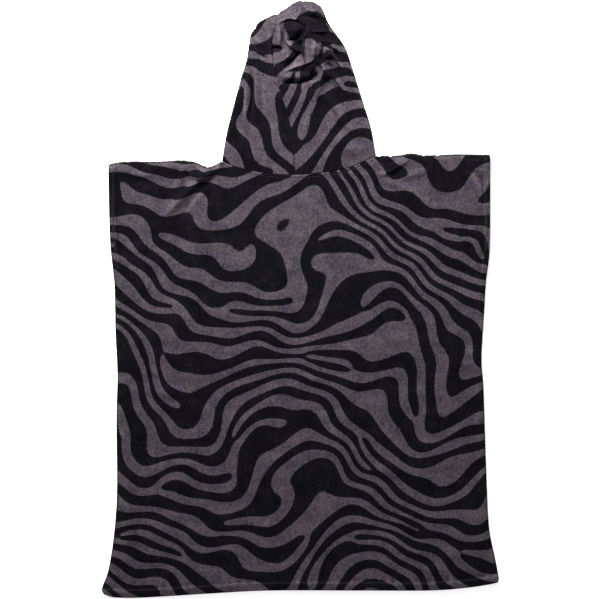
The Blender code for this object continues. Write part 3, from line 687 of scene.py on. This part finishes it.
def rods(name, spines, girths, sides, material):
    """Thin rods along spines [rod, ring, axis], as one mesh, as thick at each ring as in `girths`."""
    heading = np.gradient(spines, axis=1)
    lateral = np.cross(heading, [0.05, 0.1, 1.0])
    upward = np.cross(lateral, heading)
    lateral, upward = (way / np.linalg.norm(way, axis=-1)[..., None] for way in (lateral, upward))
    turn = np.linspace(0, 2 * np.pi, sides, endpoint=False)[:, None]
    around = lateral[:, :, None] * np.cos(turn) + upward[:, :, None] * np.sin(turn)
    points = (spines[:, :, None] + around * np.array(girths)[:, None, None]).reshape(-1, 3) * MM + origin
    index = np.arange(len(points)).reshape(-1, len(girths), sides)
    near, far = index[:, :-1], index[:, 1:]
    quads = np.stack([near, np.roll(near, -1, 2), np.roll(far, -1, 2), far], axis=-1).reshape(-1, 4)
    mesh = bpy.data.meshes.new(name)
    caps = [*index[:, 0, ::-1].tolist(), *index[:, -1].tolist()]
    mesh.from_pydata(points.tolist(), [], [*quads.tolist(), *caps])
    mesh.shade_smooth()
    piece = bpy.data.objects.new(name, mesh)
    bpy.context.scene.collection.objects.link(piece)
    return dressed(piece, None, material)


def yarn_material(name, scale, low, high, dark, pale, roughness):
    """Yarn of two colours in patches, `scale` of them to a metre, told apart between two noise levels."""
    material = bpy.data.materials.new(name)
    material.use_nodes = True
    shader = material.node_tree.nodes["Principled BSDF"]
    start = Wire(material.node_tree)
    patches = start.noise(start.node("ShaderNodeTexCoord", give=3), scale, 2.0)
    colour = patches.step(low, high).blend(dark, pale)
    material.node_tree.links.new(colour.output, shader.inputs["Base Color"])
    shader.inputs["Roughness"].default_value = roughness
    return material


THREAD_DARK = (0.0030, 0.0026, 0.0036, 1.0)
THREAD_PALE = (0.0090, 0.0080, 0.0096, 1.0)
LOOP_DARK = (0.026, 0.017, 0.016, 1.0)
LOOP_PALE = (0.095, 0.060, 0.053, 1.0)
thread = yarn_material("spun_thread", 900.0, 0.35, 0.65, THREAD_DARK, THREAD_PALE, 0.7)
terry_loops = yarn_material("terry_loops", 300.0, 0.40, 0.60, LOOP_DARK, LOOP_PALE, 0.9)

STITCH_LENGTH = 3.4
STITCH_SPACING = 4.3
STITCH_RADIUS = 0.4
STITCH_SINKS = (0.35, 1.1)  # how high its middle stands over the pile, and how far its ends sink from there
OVERLOCK = (96, 190)  # the stretch of the armholes that is overlocked, by y
OVERLOCK_LENGTH = 5.0
OVERLOCK_SPACING = 3.4
OVERLOCK_SLANT = 1.0


def stitches(name, rows, slant=0.0):
    """Stitches along paths in space, whose ends sink into the pile.

    Each row is a path, its stitches' length and their spacing; `slant` turns them about the vertical.
    """
    share = np.array([-1.0, -0.72, 0.0, 0.72, 1.0])
    rise = STITCH_SINKS[0] - STITCH_SINKS[1] * share**4
    dice = np.random.default_rng(71)
    spines = []
    for path, length, spacing in rows:
        centres, heading = spread(path, spacing)
        lateral = np.stack([-heading[:, 1], heading[:, 0], 0 * heading[:, 0]], axis=-1)
        angle = slant + dice.uniform(-0.08, 0.08, len(centres))[:, None]
        run = (heading * np.cos(angle) + lateral * np.sin(angle))[:, None] * share[:, None] * length / 2
        spines.append(centres[:, None] + run + rise[:, None] * [0, 0, 1])
    girths = STITCH_RADIUS * np.array([0.1, 0.8, 1.0, 0.8, 0.1])
    return rods(name, np.vstack(spines), girths, 6, thread)


LOOP_REACH = 2.0
LOOP_SPACING = 0.4
LOOP_RADIUS = 0.32
LOOP_ARCH = ((-0.5, -0.8), (-0.7, 0.6), (0.0, 1.0), (0.7, 0.6), (0.5, -0.8))  # in widths and reaches
TUFT_LENGTH = 24
BARE_BELOW = -1.8  # the level of the tufts' noise under which no loop sticks out
LOOPED_PAST = (-180, 160)  # the shoulders' raw edges show beyond these, on the left and the right


def edge_loops(name, path, seed):
    """Terry loops that stick out to the left of a path in space, in uneven tufts."""
    dice = np.random.default_rng(seed)
    centres, heading = spread(path, LOOP_SPACING)
    tufts = ripple(centres[:, 0], centres[:, 1], TUFT_LENGTH, seed) + dice.normal(0, 0.6, len(centres))
    centres, heading = centres[tufts > BARE_BELOW], heading[tufts > BARE_BELOW]
    out = np.stack([-heading[:, 1], heading[:, 0], 0 * heading[:, 0]], axis=-1)
    reach = LOOP_REACH * dice.uniform(0.6, 1.15, (len(centres), 1))
    width = dice.uniform(0.4, 1.3, (len(centres), 1))
    rise = dice.uniform(-1.6, 1.2, (len(centres), 1)) * [0, 0, 1]
    spines = [centres + rise + heading * width * run + out * reach * far for run, far in LOOP_ARCH]
    return rods(name, np.stack(spines, axis=1), [LOOP_RADIUS] * len(LOOP_ARCH), 3, terry_loops)


def past_end(rows):
    """The place just past a grid's last row, nine tenths of a row's spacing on."""
    return 1.9 * rows[-1] - 0.9 * rows[-2]


hem_row = HEM_MARKS.index(HEM_STITCH)
hole_column = SIDE_MARKS.index(int(ARMHOLE_HEM))
neck_row = TOP_MARKS.index(NECK_STITCH) - len(TOP_MARKS)
seam_rows = [(back_outer[hem_row, 3:-3], STITCH_LENGTH, STITCH_SPACING)]
neck_path = back_outer[neck_row]
seam_rows.append((neck_path[np.abs(neck_path[:, 0]) < SHOULDER_SEAM], STITCH_LENGTH, STITCH_SPACING))
for path in (back_outer[:, hole_column], back_outer[:, -1 - hole_column]):
    seam_rows.append((path[path[:, 1] > ARMHOLE_FOOT], STITCH_LENGTH, STITCH_SPACING))
back_stitches = stitches("back_stitches", seam_rows)
overlock_rows = []
for path in (back_outer[:, 3], back_outer[:, -4]):
    path = path[(path[:, 1] > OVERLOCK[0]) & (path[:, 1] < OVERLOCK[1])]
    overlock_rows.append((path, OVERLOCK_LENGTH, OVERLOCK_SPACING))
back_overlock = stitches("back_overlock", overlock_rows, slant=OVERLOCK_SLANT)
top_edge = at_height(past_end(moved), (back_over + back_under)[-1] / 2)
shoulder_loops = [
    edge_loops("left_loops", top_edge[top_edge[:, 0] < LOOPED_PAST[0]], 82),
    edge_loops("right_loops", top_edge[top_edge[:, 0] > LOOPED_PAST[1]], 81),
]

# ---------------------------------------------------------------------------------------------------
# Front panel: the same cloth and cut with a deeper neckline, printed side down on the floor. Its hem and
# its armholes are turned up and stitched, and its neckline holds the front of the hood.
FRONT_NECK = (
    (-156, 276), (-128, 232), (-68, 196), (-5, 186), (62, 197), (122, 236),
    (152, 286),
)
FRONT_PRINT = (90, -60)  # where the front is cut from the printed cloth, against the back

front_plan, front_distances = panel_plan(FRONT_NECK, spacing=5.4, fine=4.6)
front_turned = turned_edges(front_plan, front_distances)
front_outer = at_height(front_plan, 0.0)[:, ::-1]
front_inner = at_height(front_plan, CLOTH * (1 + HEM_THICKER * front_turned))[:, ::-1]
front_flat = front_plan[:, ::-1] * [-1.0, 1.0]
front_light = stripes(front_flat[..., 0] + FRONT_PRINT[0], front_flat[..., 1] + FRONT_PRINT[1])
front_cloth = cloth_piece("front_cloth", front_outer, front_inner, front_light, bulge=1.2)
dressed(front_cloth, "front_panel")

# ---------------------------------------------------------------------------------------------------
# Hood: two like sides of the same velour, joined by a seam down the back of the head. Each runs from the
# seam over its outer edge and under, to the face opening. The crown is bunched: the left side folds over
# it, the hemmed brow overlaps it from above, and drapes hang from it to the right edge.
HOOD_LEFT_EDGE = (
    (-156, 276), (-147, 330), (-135, 378), (-118, 442), (-107, 478), (-102, 510),
    (-99, 528), (-93, 541),
)
HOOD_RIGHT_EDGE = (
    (152, 286), (141, 346), (126, 394), (101, 474), (89, 506), (66, 538),
    (54, 558), (48, 574), (42, 588),
)
FOREHEAD = (
    (-93, 541), (-79, 554), (-49, 568), (-32, 576), (-14, 589), (2, 595),
    (26, 595), (42, 588),
)
HOOD_SEAM = (
    (-9, 248), (-12, 300), (-18, 356), (-32, 406), (-48, 452), (-53, 500),
    (-48, 545), (-36, 574),
)
LEFT_FACE_EDGE = (
    (-8, 186), (-22, 230), (-44, 300), (-58, 380), (-68, 460), (-76, 510),
    (-84, 536),
)
RIGHT_FACE_EDGE = (
    (-3, 186), (14, 232), (38, 300), (54, 380), (62, 460), (54, 525),
    (36, 582),
)
FLAP_LAP = 4.0  # how far each side reaches past the seam where the left one is folded over the right
FLAP_FOOT = (430, 462)  # where the fold begins, and where it is whole, by y
FLAP_HEAD = (548, 568)  # where it begins to end, and where it has ended
FLAP_REACH = 14.0
SEAM_PUFF = 1.6
BROW_SINK = 0.7
SEAM_AT_NECK = 0.475
SEAM_AT_FOREHEAD = 0.38
FACE_AT_NECK = 0.5
HOOD_BASE_RISE = 1.2
EDGE_RISE = 1.6
EDGE_REACH = 20.0
NECK_REACH = 40.0
FOREHEAD_REACH = 24.0
FOREHEAD_SHARE = 0.3
CORNER_RISE = 0.3
CORNER_SQUEEZE = 0.5
CORNER_REACH = 12.0
NECK_MARKS = (1.4, 3, 5, 7.5, 10.5, 14, 18, 23)  # from the neck seam up, and from the brow down
FOREHEAD_MARKS = (21, 19, 17, 15.8, 14.6, 13, 11, 9, 7, 5, 3, 1.4)
CROWN_DEPTH = 180.0  # from the brow down, where the rows are closer
BELOW_CROWN = 3.6  # between the rows below that

# The folds that both sides share, those of the left side, and those of the bunched crown on the right.
HOOD_FOLDS = (
    Fold(-70, 556, -38, 567, -10, 580, 4.0, 7, 6),
    Fold(-74, 366, -58, 322, -60, 284, 2.6, 12, 12),
    Fold(8, 404, 14, 350, 34, 296, 3.0, 14, 12),
)
LEFT_FOLDS = (
    Fold(-102, 520, -90, 508, -78, 494, -5.0, 3, 3, 0, 6),
    Fold(-97, 510, -84, 497, -70, 488, 4.5, 5, 4, 2, 3),
    Fold(-84, 494, -75, 487, -65, 481, -4.0, 3, 3, 0, 4),
    Fold(-100, 534, -82, 515, -66, 505, 3.5, 7, 5),
    Fold(-58, 540, -60, 500, -57, 458, 5.0, 6, 6),
    Fold(-110, 464, -107, 410, -112, 352, 6.0, 7, 4.5, 3, 6),
    Fold(-88, 464, -87, 408, -93, 346, 6.0, 7, 5, 3, 6),
    Fold(-98, 470, -97, 410, -101, 360, -4.5, 3.5, 3.5, 0, 3),
    Fold(-122, 346, -114, 318, -118, 288, 3.0, 9, 9),
    Fold(-70, 440, -72, 400, -62, 366, 3.0, 8, 7),
)
CROWN_FOLDS = (
    Fold(-43, 502, -42, 526, -43, 548, 7.0, 6, 4, 3),
    Fold(-33, 546, -32, 522, -31, 497, -8.0, 3.5, 3.5),
    Fold(-58, 501, -45, 502, -33, 499, -8.0, 2.5, 3, 0, 8),
    Fold(-48, 544, -14, 566, 24, 537, 10.0, 14, 4, 8, 12),
    Fold(-27, 521, -10, 519, 5, 534, -9.0, 3.5, 4, 0, 9),
    Fold(17, 544, 14, 522, 7, 499, 9.0, 6, 4, 4.5, 6),
    Fold(-28, 525, -14, 506, 9, 494, 9.0, 5, 4, 5.5, 8),
    Fold(0, 494, -15, 475, -33, 461, -9.0, 3, 3.5, 0, 6),
    Fold(-20, 486, -28, 478, -36, 476, 4.0, 4, 4),
    Fold(-30, 456, -6, 469, 22, 474, 8.5, 5, 4, 6, 10),
    Fold(-48, 447, -8, 445, 34, 451, 7.0, 9, 9, 1, 3),
    Fold(-46, 433, 0, 434, 36, 445, -8.0, 3.5, 3.5, 0, 9),
    Fold(18, 526, 9, 495, 14, 461, -10.0, 3.5, 4, 0, 10),
    Fold(46, 517, 45, 494, 38, 475, -8.0, 4, 3.5, 0, -8),
    Fold(34, 505, 32, 486, 27, 468, -3.5, 2.5, 2.5),
    Fold(37, 472, 52, 452, 30, 408, 9.0, 7, 4, 6, 8),
    Fold(24, 534, 50, 538, 82, 527, 8.0, 7, 3.5, 5.5, 8),
    Fold(42, 515, 60, 516, 82, 507, 6.5, 4, 3.5, 4, 6),
    Fold(46, 505, 62, 500, 90, 470, -7.5, 3.5, 4, 0, 6),
    Fold(62, 505, 74, 502, 92, 487, 6.0, 5, 3.5, 3, 4),
    Fold(57, 494, 76, 479, 98, 444, 8.0, 5, 4.5, 4, 7),
    Fold(50, 470, 70, 460, 92, 430, -7.0, 4, 4, 0, 4),
    Fold(56, 450, 76, 438, 98, 400, 6.5, 6, 5, 3, 5),
    Fold(50, 438, 68, 422, 88, 384, -4.5, 5, 5),
    Fold(32, 414, 62, 398, 96, 350, 4.5, 12, 9, 2, 5),
    Fold(36, 400, 60, 374, 98, 332, -3.5, 8, 8),
    Fold(4, 571, 34, 559, 66, 541, -9.0, 3, 3, 0, 9),
    Fold(12, 581, 40, 568, 62, 553, 6.5, 6, 4, 3, 4),
    Fold(24, 566, 42, 557, 62, 548, -4.5, 2.5, 2.5),
    Fold(0, 592, 2, 576, -3, 560, 4.5, 4, 4, 2, 3),
    Fold(60, 332, 96, 302, 134, 300, 3.0, 12, 10),
    Fold(78, 380, 96, 346, 128, 338, 2.6, 10, 8),
)
Puff = namedtuple("Puff", "x y reach_x reach_y height")
HOOD_PUFFS = (
    Puff(-8, 540, 24, 20, 4.0),
    Puff(0, 500, 56, 56, 8.0),
    Puff(24, 470, 46, 60, 3.5),
    Puff(-20, 420, 60, 70, 2.0),
)
CROWN_PUFFS = (
    Puff(-11, 540, 16, 12, 10.0),
    Puff(29, 497, 12, 25, 15.0),
    Puff(56, 486, 8, 8, 10.0),
    Puff(0, 509, 7, 7, -10.0),
    Puff(27, 446, 8, 9, -12.0),
)


def rising(start, reach, distance):
    """From `start` at no distance up to 1 at `reach`."""
    return start + (1 - start) * smoothstep(0, reach, distance)


def picked(points, shares):
    """Points at these shares of an evenly divided polyline."""
    return read_off(shares, np.linspace(0, 1, len(points)), points)


BUNCH_CENTRE = (12.0, 498.0)
BUNCH_REACH = 60.0
BUNCH_SHARE = 0.4


def bunched(plan):
    """The further reach of the cloth in the crown, where more of it is gathered than shows."""
    away = plan - BUNCH_CENTRE
    return BUNCH_SHARE * away * bell(np.linalg.norm(away, axis=-1), BUNCH_REACH)[..., None]


def hood_seam(up):
    """The seam of the hood's two sides, from the neck seam to the brow."""
    seam = along(HOOD_SEAM, up)
    ends = along(HOOD_SEAM, [0, 1])
    foot = picked(fine_curve(BACK_NECK), [SEAM_AT_NECK]) - ends[:1]
    return seam + (1 - up)[:, None] * foot + up[:, None] * (along(FOREHEAD, [SEAM_AT_FOREHEAD]) - ends[1:])


def flap_share(y):
    """1 beside the crown, where the left side is folded over the seam, and 0 below it and at the brow."""
    return smoothstep(*FLAP_FOOT, y) * (1 - smoothstep(*FLAP_HEAD, y))


def swells(x, y, puffs):
    """How high the puffs stand together: each is a bell with its own reach across and up."""
    shares = [np.hypot((x - puff.x) / puff.reach_x, (y - puff.y) / puff.reach_y) for puff in puffs]
    return sum(puff.height * bell(share, 1.0) for puff, share in zip(puffs, shares, strict=True))


def hood_surface(x, y, side):
    """(height, move, hidden) of the hood's upper face: its base, the puffs, and the folds over them.

    The puffs and folds die out towards the neck seam and the outer edges, and partly at the brow. The
    left side climbs towards the crown, so that its edge lies over the right side's.
    """
    seam = distance_to(fine_curve(HOOD_SEAM), x, y)
    own = 1 - (1 - flap_share(y)) * (1 - smoothstep(2, 12, seam))
    height, move, hidden = raise_folds(x, y, HOOD_FOLDS)
    own_height, own_move, own_hidden = raise_folds(x, y, LEFT_FOLDS if side < 0 else CROWN_FOLDS)
    if side > 0:
        own_height += swells(x, y, CROWN_PUFFS)
    height += swells(x, y, HOOD_PUFFS) + own * own_height
    move += own[..., None] * own_move
    edges = [distance_to(fine_curve(edge), x, y) for edge in (HOOD_LEFT_EDGE, HOOD_RIGHT_EDGE)]
    inside = smoothstep(CLOTH + EDGE_RISE, EDGE_REACH, np.minimum(*edges))
    brow = distance_to(fine_curve(FOREHEAD), x, y)
    above_neck = smoothstep(0, NECK_REACH, distance_to(fine_curve(BACK_NECK), x, y))
    alive = inside * rising(FOREHEAD_SHARE, FOREHEAD_REACH, brow)
    allowances = SEAM_PUFF * (1 - smoothstep(430, 480, y)) * seam_roll(seam * 1.4)
    waves = 0.5 * ripple(x, y, 70, 51) + 0.3 * ripple(x, y, 28, 52) + 0.5
    waves = waves + 0.7 * ripple(x, y, 17, 54) * bell(np.hypot(x - 14, y - 492), 60.0)
    rise = HOOD_BASE_RISE + EDGE_RISE * (1 - inside) + alive * np.maximum(height + waves, -1.0) + allowances
    hem = 0.35 * bell(brow - HEM_DEPTH, 7.0) * ripple(x, y, 12, 53) - BROW_SINK * bell(brow - HEM_DEPTH, 1.4)
    hem = hem + HEM_THICKER * CLOTH * (1 - smoothstep(HEM_DEPTH, HEM_DEPTH + HEM_SLOPE, brow))
    height = 2 * CLOTH + GAP + above_neck * (rise + inside * hem)
    if side < 0:
        covered = hood_surface(x, y, 1)[0] + CLOTH + GAP - height
        height = height + flap_share(y) * bell(seam, FLAP_REACH) * np.maximum(covered, 0.0)
    return height, move * (alive * smoothstep(2, 16, seam))[..., None], hidden + own_hidden


def hood_side(name, side, spacing, columns, under_columns, print_place):
    """One side of the hood, with the outer grid of its upper layer; `side` is -1 for left, 1 for right.

    Rows run from the neck to the brow, and columns from the seam to the outer edge, half round it, and on
    under to the face opening. The turn is a half circle, the layer below it is flat on the floor, and on
    the layer above it the inner points lie below the outer ones, along a normal that leans to upright.
    """
    edge_rows, face_rows = (
        (HOOD_LEFT_EDGE, LEFT_FACE_EDGE) if side < 0 else (HOOD_RIGHT_EDGE, RIGHT_FACE_EDGE)
    )
    length = runs(fine_curve(edge_rows))[-1]
    places = marks(length, NECK_MARKS, FOREHEAD_MARKS, BELOW_CROWN, CROWN_DEPTH, spacing)
    up = np.array([0, *places / length, 1])
    across = np.linspace(0.0, 1.0, columns)
    end = (side + 1) / 2
    inset_by = GAP / 2 + EDGE_BULGE
    outline = along(edge_rows, up)
    outward = (beside(outline, 1.0) - outline) * -side
    above_neck = smoothstep(0, NECK_REACH, outline[:, 1] - outline[0, 1])
    below_brow = rising(CORNER_RISE, FOREHEAD_REACH, outline[-1, 1] - outline[:, 1])
    radius = (GAP + (HOOD_BASE_RISE + EDGE_RISE) * above_neck * below_brow) / 2
    inset = outline - outward * (radius + CLOTH)[:, None]

    by_seam, by_edge = ((share**4)[:, None] for share in (1 - across, across))
    neck = picked(beside(fine_curve(BACK_NECK), GAP), SEAM_AT_NECK + (end - SEAM_AT_NECK) * across)
    brow = along(FOREHEAD, SEAM_AT_FOREHEAD + (end - SEAM_AT_FOREHEAD) * across)
    brow = brow + by_edge * (inset[-1] - brow[-1])
    seam = hood_seam(up)
    seam = beside(seam, side * (FLAP_LAP * flap_share(seam[:, 1]) - inset_by))
    corner = brow[0] + inset_by * (brow[1] - brow[0]) / np.linalg.norm(brow[1] - brow[0])
    seam = seam + smoothstep(0.93, 1.0, up)[:, None] * (corner - seam[-1])
    neck = neck + by_edge * (inset[0] - neck[-1]) + by_seam * (seam[0] - neck[0])
    brow = brow + by_seam * (seam[-1] - brow[0])
    upper = patch(neck, brow, seam, inset, across, up)
    straight = (1 - across)[:, None] * seam[:, None] + across[:, None] * inset[:, None]
    between = (smoothstep(0, 0.1, up) * smoothstep(0, 0.1, 1 - up))[:, None, None]
    upper = (upper + (straight - upper) * across[:, None] ** 6 * between)[1:-1]
    outward, radius, inset = outward[1:-1], radius[1:-1], inset[1:-1]

    height, move, hidden = hood_surface(upper[..., 0], upper[..., 1], side)
    from_edge = np.linalg.norm(upper - inset[:, None], axis=-1)
    meet = 2 * (CLOTH + radius) - height[:, -1]
    height = height + meet[:, None] * (1 - smoothstep(0, 14, from_edge))
    upper_outer = at_height(upper + move, height)
    normals = cloth_normals(upper_outer) * side + [0.0, 0.0, 0.6]
    level = (1 - smoothstep(0, 10, from_edge))[..., None]
    normals = normals / np.linalg.norm(normals, axis=-1)[..., None] * (1 - level) + [0.0, 0.0, 1.0] * level
    upper_inner = upper_outer - CLOTH * normals / np.linalg.norm(normals, axis=-1)[..., None]

    angles = np.linspace(0.0, np.pi, 8)[None, 1:-1, None]
    middle = at_height(inset, CLOTH + radius)[:, None]
    squeeze = rising(CORNER_SQUEEZE, CORNER_REACH, outline[-1, 1] - outline[1:-1, 1])
    radial = np.sin(angles) * at_height(outward * squeeze[:, None], 0.0)[:, None] + np.cos(angles) * [0, 0, 1]
    turn_inner = middle + radius[:, None, None] * radial
    turn_outer = middle + (radius + CLOTH)[:, None, None] * radial

    under_across = np.linspace(0.0, 1.0, under_columns)
    shares = end + (FACE_AT_NECK - end) * under_across
    front_neck = picked(beside(fine_curve(FRONT_NECK), GAP + EDGE_BULGE), shares)
    face = beside(along(face_rows, up), -side * EDGE_BULGE)
    face = face + (1 - up)[:, None] * (front_neck[-1] + [side * EDGE_BULGE, 0.0] - face[0])
    front_neck = front_neck + under_across[:, None] ** 4 * (face[0] - front_neck[-1])
    whole_inset = np.vstack([front_neck[:1], inset, inset[-1:]])
    top_line = inset[-1] + (face[-1] - inset[-1]) * under_across[:, None]
    lower = patch(front_neck, top_line, whole_inset, face, under_across, up)[1:-1]
    from_face = np.linalg.norm(lower - lower[:, -1:], axis=-1)
    face_hem = 1 - smoothstep(HEM_DEPTH, HEM_DEPTH + HEM_SLOPE, from_face)
    lower_inner = at_height(lower, CLOTH * (1 + 0.5 * HEM_THICKER * face_hem))

    beyond = lower - inset[:, None]
    out = (beyond * outward[:, None]).sum(-1)[..., None] * outward[:, None]
    turn_length = ((radius + CLOTH) * np.pi)[:, None, None]
    flat_turn = inset[:, None] + outward[:, None] * turn_length * angles / np.pi
    flat_lower = inset[:, None] + outward[:, None] * turn_length + beyond - 2 * out
    flat = np.concatenate([upper + hidden + bunched(upper), flat_turn, flat_lower], axis=1)
    outer = np.concatenate([upper_outer, turn_outer, at_height(lower, 0.0)], axis=1)
    inner = np.concatenate([upper_inner, turn_inner, lower_inner], axis=1)
    if side < 0:
        outer, inner, flat = outer[:, ::-1], inner[:, ::-1], flat[:, ::-1]
    light = stripes(flat[..., 0] + print_place[0], flat[..., 1] + print_place[1])
    return dressed(cloth_piece(name, outer, inner, light), name.removesuffix("_cloth")), upper_outer


hood_left, hood_left_outer = hood_side(
    "hood_left_cloth", -1, spacing=1.8, columns=56, under_columns=20, print_place=(-340.0, -640.0)
)
hood_right, hood_right_outer = hood_side(
    "hood_right_cloth", 1, spacing=1.35, columns=104, under_columns=22, print_place=(20.0, -900.0)
)
# The brow's stitches run along its hem, between the eighth and the ninth row from its edge.
brow_paths = [(outer[-9] + outer[-8]) / 2 for outer in (hood_left_outer[:, :-4], hood_right_outer[:, :-6])]
left_stitches, right_stitches = (
    stitches(name, [(path, STITCH_LENGTH, STITCH_SPACING)])
    for name, path in zip(("hood_left_stitches", "hood_right_stitches"), brow_paths, strict=True)
)
# Both paths run from left to right, so that the loops stick out past the brow.
brow_loops = [
    edge_loops(name, past_end(outer)[order] - [0.0, 0.0, 1.0], seed)
    for name, outer, order, seed in (
        ("brow_left_loops", hood_left_outer, slice(-4, 3, -1), 83),
        ("brow_right_loops", hood_right_outer, slice(3, 60), 84),
    )
]

# ---------------------------------------------------------------------------------------------------
# Seam allowances: the edges of the hood's two sides, overlocked together behind their seam, and those of
# the hood and the neckline where the face opening bares them. They lie as narrow strips close under it.
ALLOWANCE = 7.0  # to each side of the seam
ALLOWANCE_THICKNESS = 0.7
ALLOWANCE_ENDS = (0.004, 0.992)  # its ends, as shares of the hood's seam
ALLOWANCE_TAPER = (0.94, 0.985)  # where it narrows, as the brow's hem closes over it
NECK_BARED = (0.40, 0.565)  # the stretch of the neckline that the face opening bares


def allowance(name, seam, width, top):
    """A strip along a seam, `width` to each side, level across, and as high as `top` at each row."""
    plan = np.stack([beside(seam, share * width) for share in (1, 0.5, 0, -0.5, -1)], axis=1)
    upper, lower = at_height(plan, top[:, None]), at_height(plan, top[:, None] - ALLOWANCE_THICKNESS)
    strip = cloth_piece(name, upper, lower, 0 * plan[..., 0], bulge=0.3)
    dressed(strip, None)


seam_shares = np.linspace(*ALLOWANCE_ENDS, 120)
seam_line = hood_seam(seam_shares)
seam_width = ALLOWANCE * (1 - 0.75 * smoothstep(*ALLOWANCE_TAPER, seam_shares))
beside_seam = [beside(seam_line, offset) for offset in (-ALLOWANCE, 0.0, ALLOWANCE)]
over_seam = [hood_surface(*line.T, side)[0] for line in beside_seam for side in (-1, 1)]
seam_top = np.maximum(np.min(over_seam, axis=0) - 1.6 * CLOTH, CLOTH + 0.9)
allowance("seam_allowance", seam_line, seam_width, seam_top)
neck_line = picked(fine_curve(BACK_NECK), np.linspace(*NECK_BARED, 24))
neck_top = np.full(len(neck_line), CLOTH + 0.8 * GAP)
allowance("neck_allowance", neck_line, ALLOWANCE, neck_top)

# ---------------------------------------------------------------------------------------------------
# Crown tuck: the spare cloth of both sides, bunched inside the face opening under the crown. It rests
# flat on the floor, keeps clear of the crown above it, and shows the looped inside of the terry.
TUCK_CENTRE = (2.0, 500.0)
TUCK_REACH = (40.0, 46.0)
TUCK_CLEARANCE = 6.0
TUCK_LOBES = 7
TUCK_COLUMNS = 96
UNDER_ROWS = 12  # on the floor, from the middle out
DOME_ROWS = 33  # over it, from the last of those up
DOME_FOOT = 0.26  # the share of all the rows where the dome begins
LEAST = 0.02  # of the reach, at both middles

around = np.linspace(0.0, 2 * np.pi, TUCK_COLUMNS + 1)[:-1]
level = np.linspace(0.0, 1.0, UNDER_ROWS + DOME_ROWS - 1)[:, None]
under, dome = np.linspace(LEAST, 1.0, UNDER_ROWS), np.cos(np.linspace(0, np.pi / 2, DOME_ROWS))[1:]
swell = np.maximum(np.concatenate([under, dome]), LEAST)[:, None]
swell = swell * (1 + 0.05 * np.sin(TUCK_LOBES * around + 2) * (level > DOME_FOOT - 0.01))
tuck_ring = np.array(TUCK_REACH) * np.stack([np.cos(around), np.sin(around)], axis=-1)
tuck_plan = np.array(TUCK_CENTRE) + swell[..., None] * tuck_ring
nudges = (-TUCK_CLEARANCE, 0.0, TUCK_CLEARANCE)
roofs = [
    hood_surface(tuck_plan[..., 0] + right, tuck_plan[..., 1] + up, side)[0]
    for right in nudges
    for up in nudges
    for side in (-1, 1)
]
roof = np.min(roofs, axis=0) - 1.5 * CLOTH - GAP
rounded = np.sin(np.clip((level - DOME_FOOT) / (1 - DOME_FOOT), 0, 1) * np.pi / 2) ** 0.5
uneven = 0.94 + 0.06 * ripple(*np.moveaxis(tuck_plan, -1, 0), 22, 61)
tuck_height = np.minimum(np.maximum(roof, 0.4) * rounded * uneven, roof)
tuck_points = at_height(tuck_plan, tuck_height * (level > DOME_FOOT)) * MM + origin

tuck_mesh = bpy.data.meshes.new("crown_tuck")
tuck_index = np.arange(tuck_points.shape[0] * TUCK_COLUMNS).reshape(-1, TUCK_COLUMNS)
near, far = tuck_index[:-1], tuck_index[1:]
tuck_quads = np.stack([near, np.roll(near, -1, 1), np.roll(far, -1, 1), far], axis=-1).reshape(-1, 4)
tuck_faces = [*tuck_quads.tolist(), tuck_index[0, ::-1].tolist(), tuck_index[-1].tolist()]
tuck_mesh.from_pydata(tuck_points.reshape(-1, 3).tolist(), [], tuck_faces)
tuck_mesh.shade_smooth()
tuck_mesh.attributes.new("inside", "FLOAT", "POINT").data.foreach_set("value", np.ones(tuck_index.size))
crown_tuck = bpy.data.objects.new("crown_tuck", tuck_mesh)
bpy.context.scene.collection.objects.link(crown_tuck)
dressed(crown_tuck, "hood_crown_tuck")
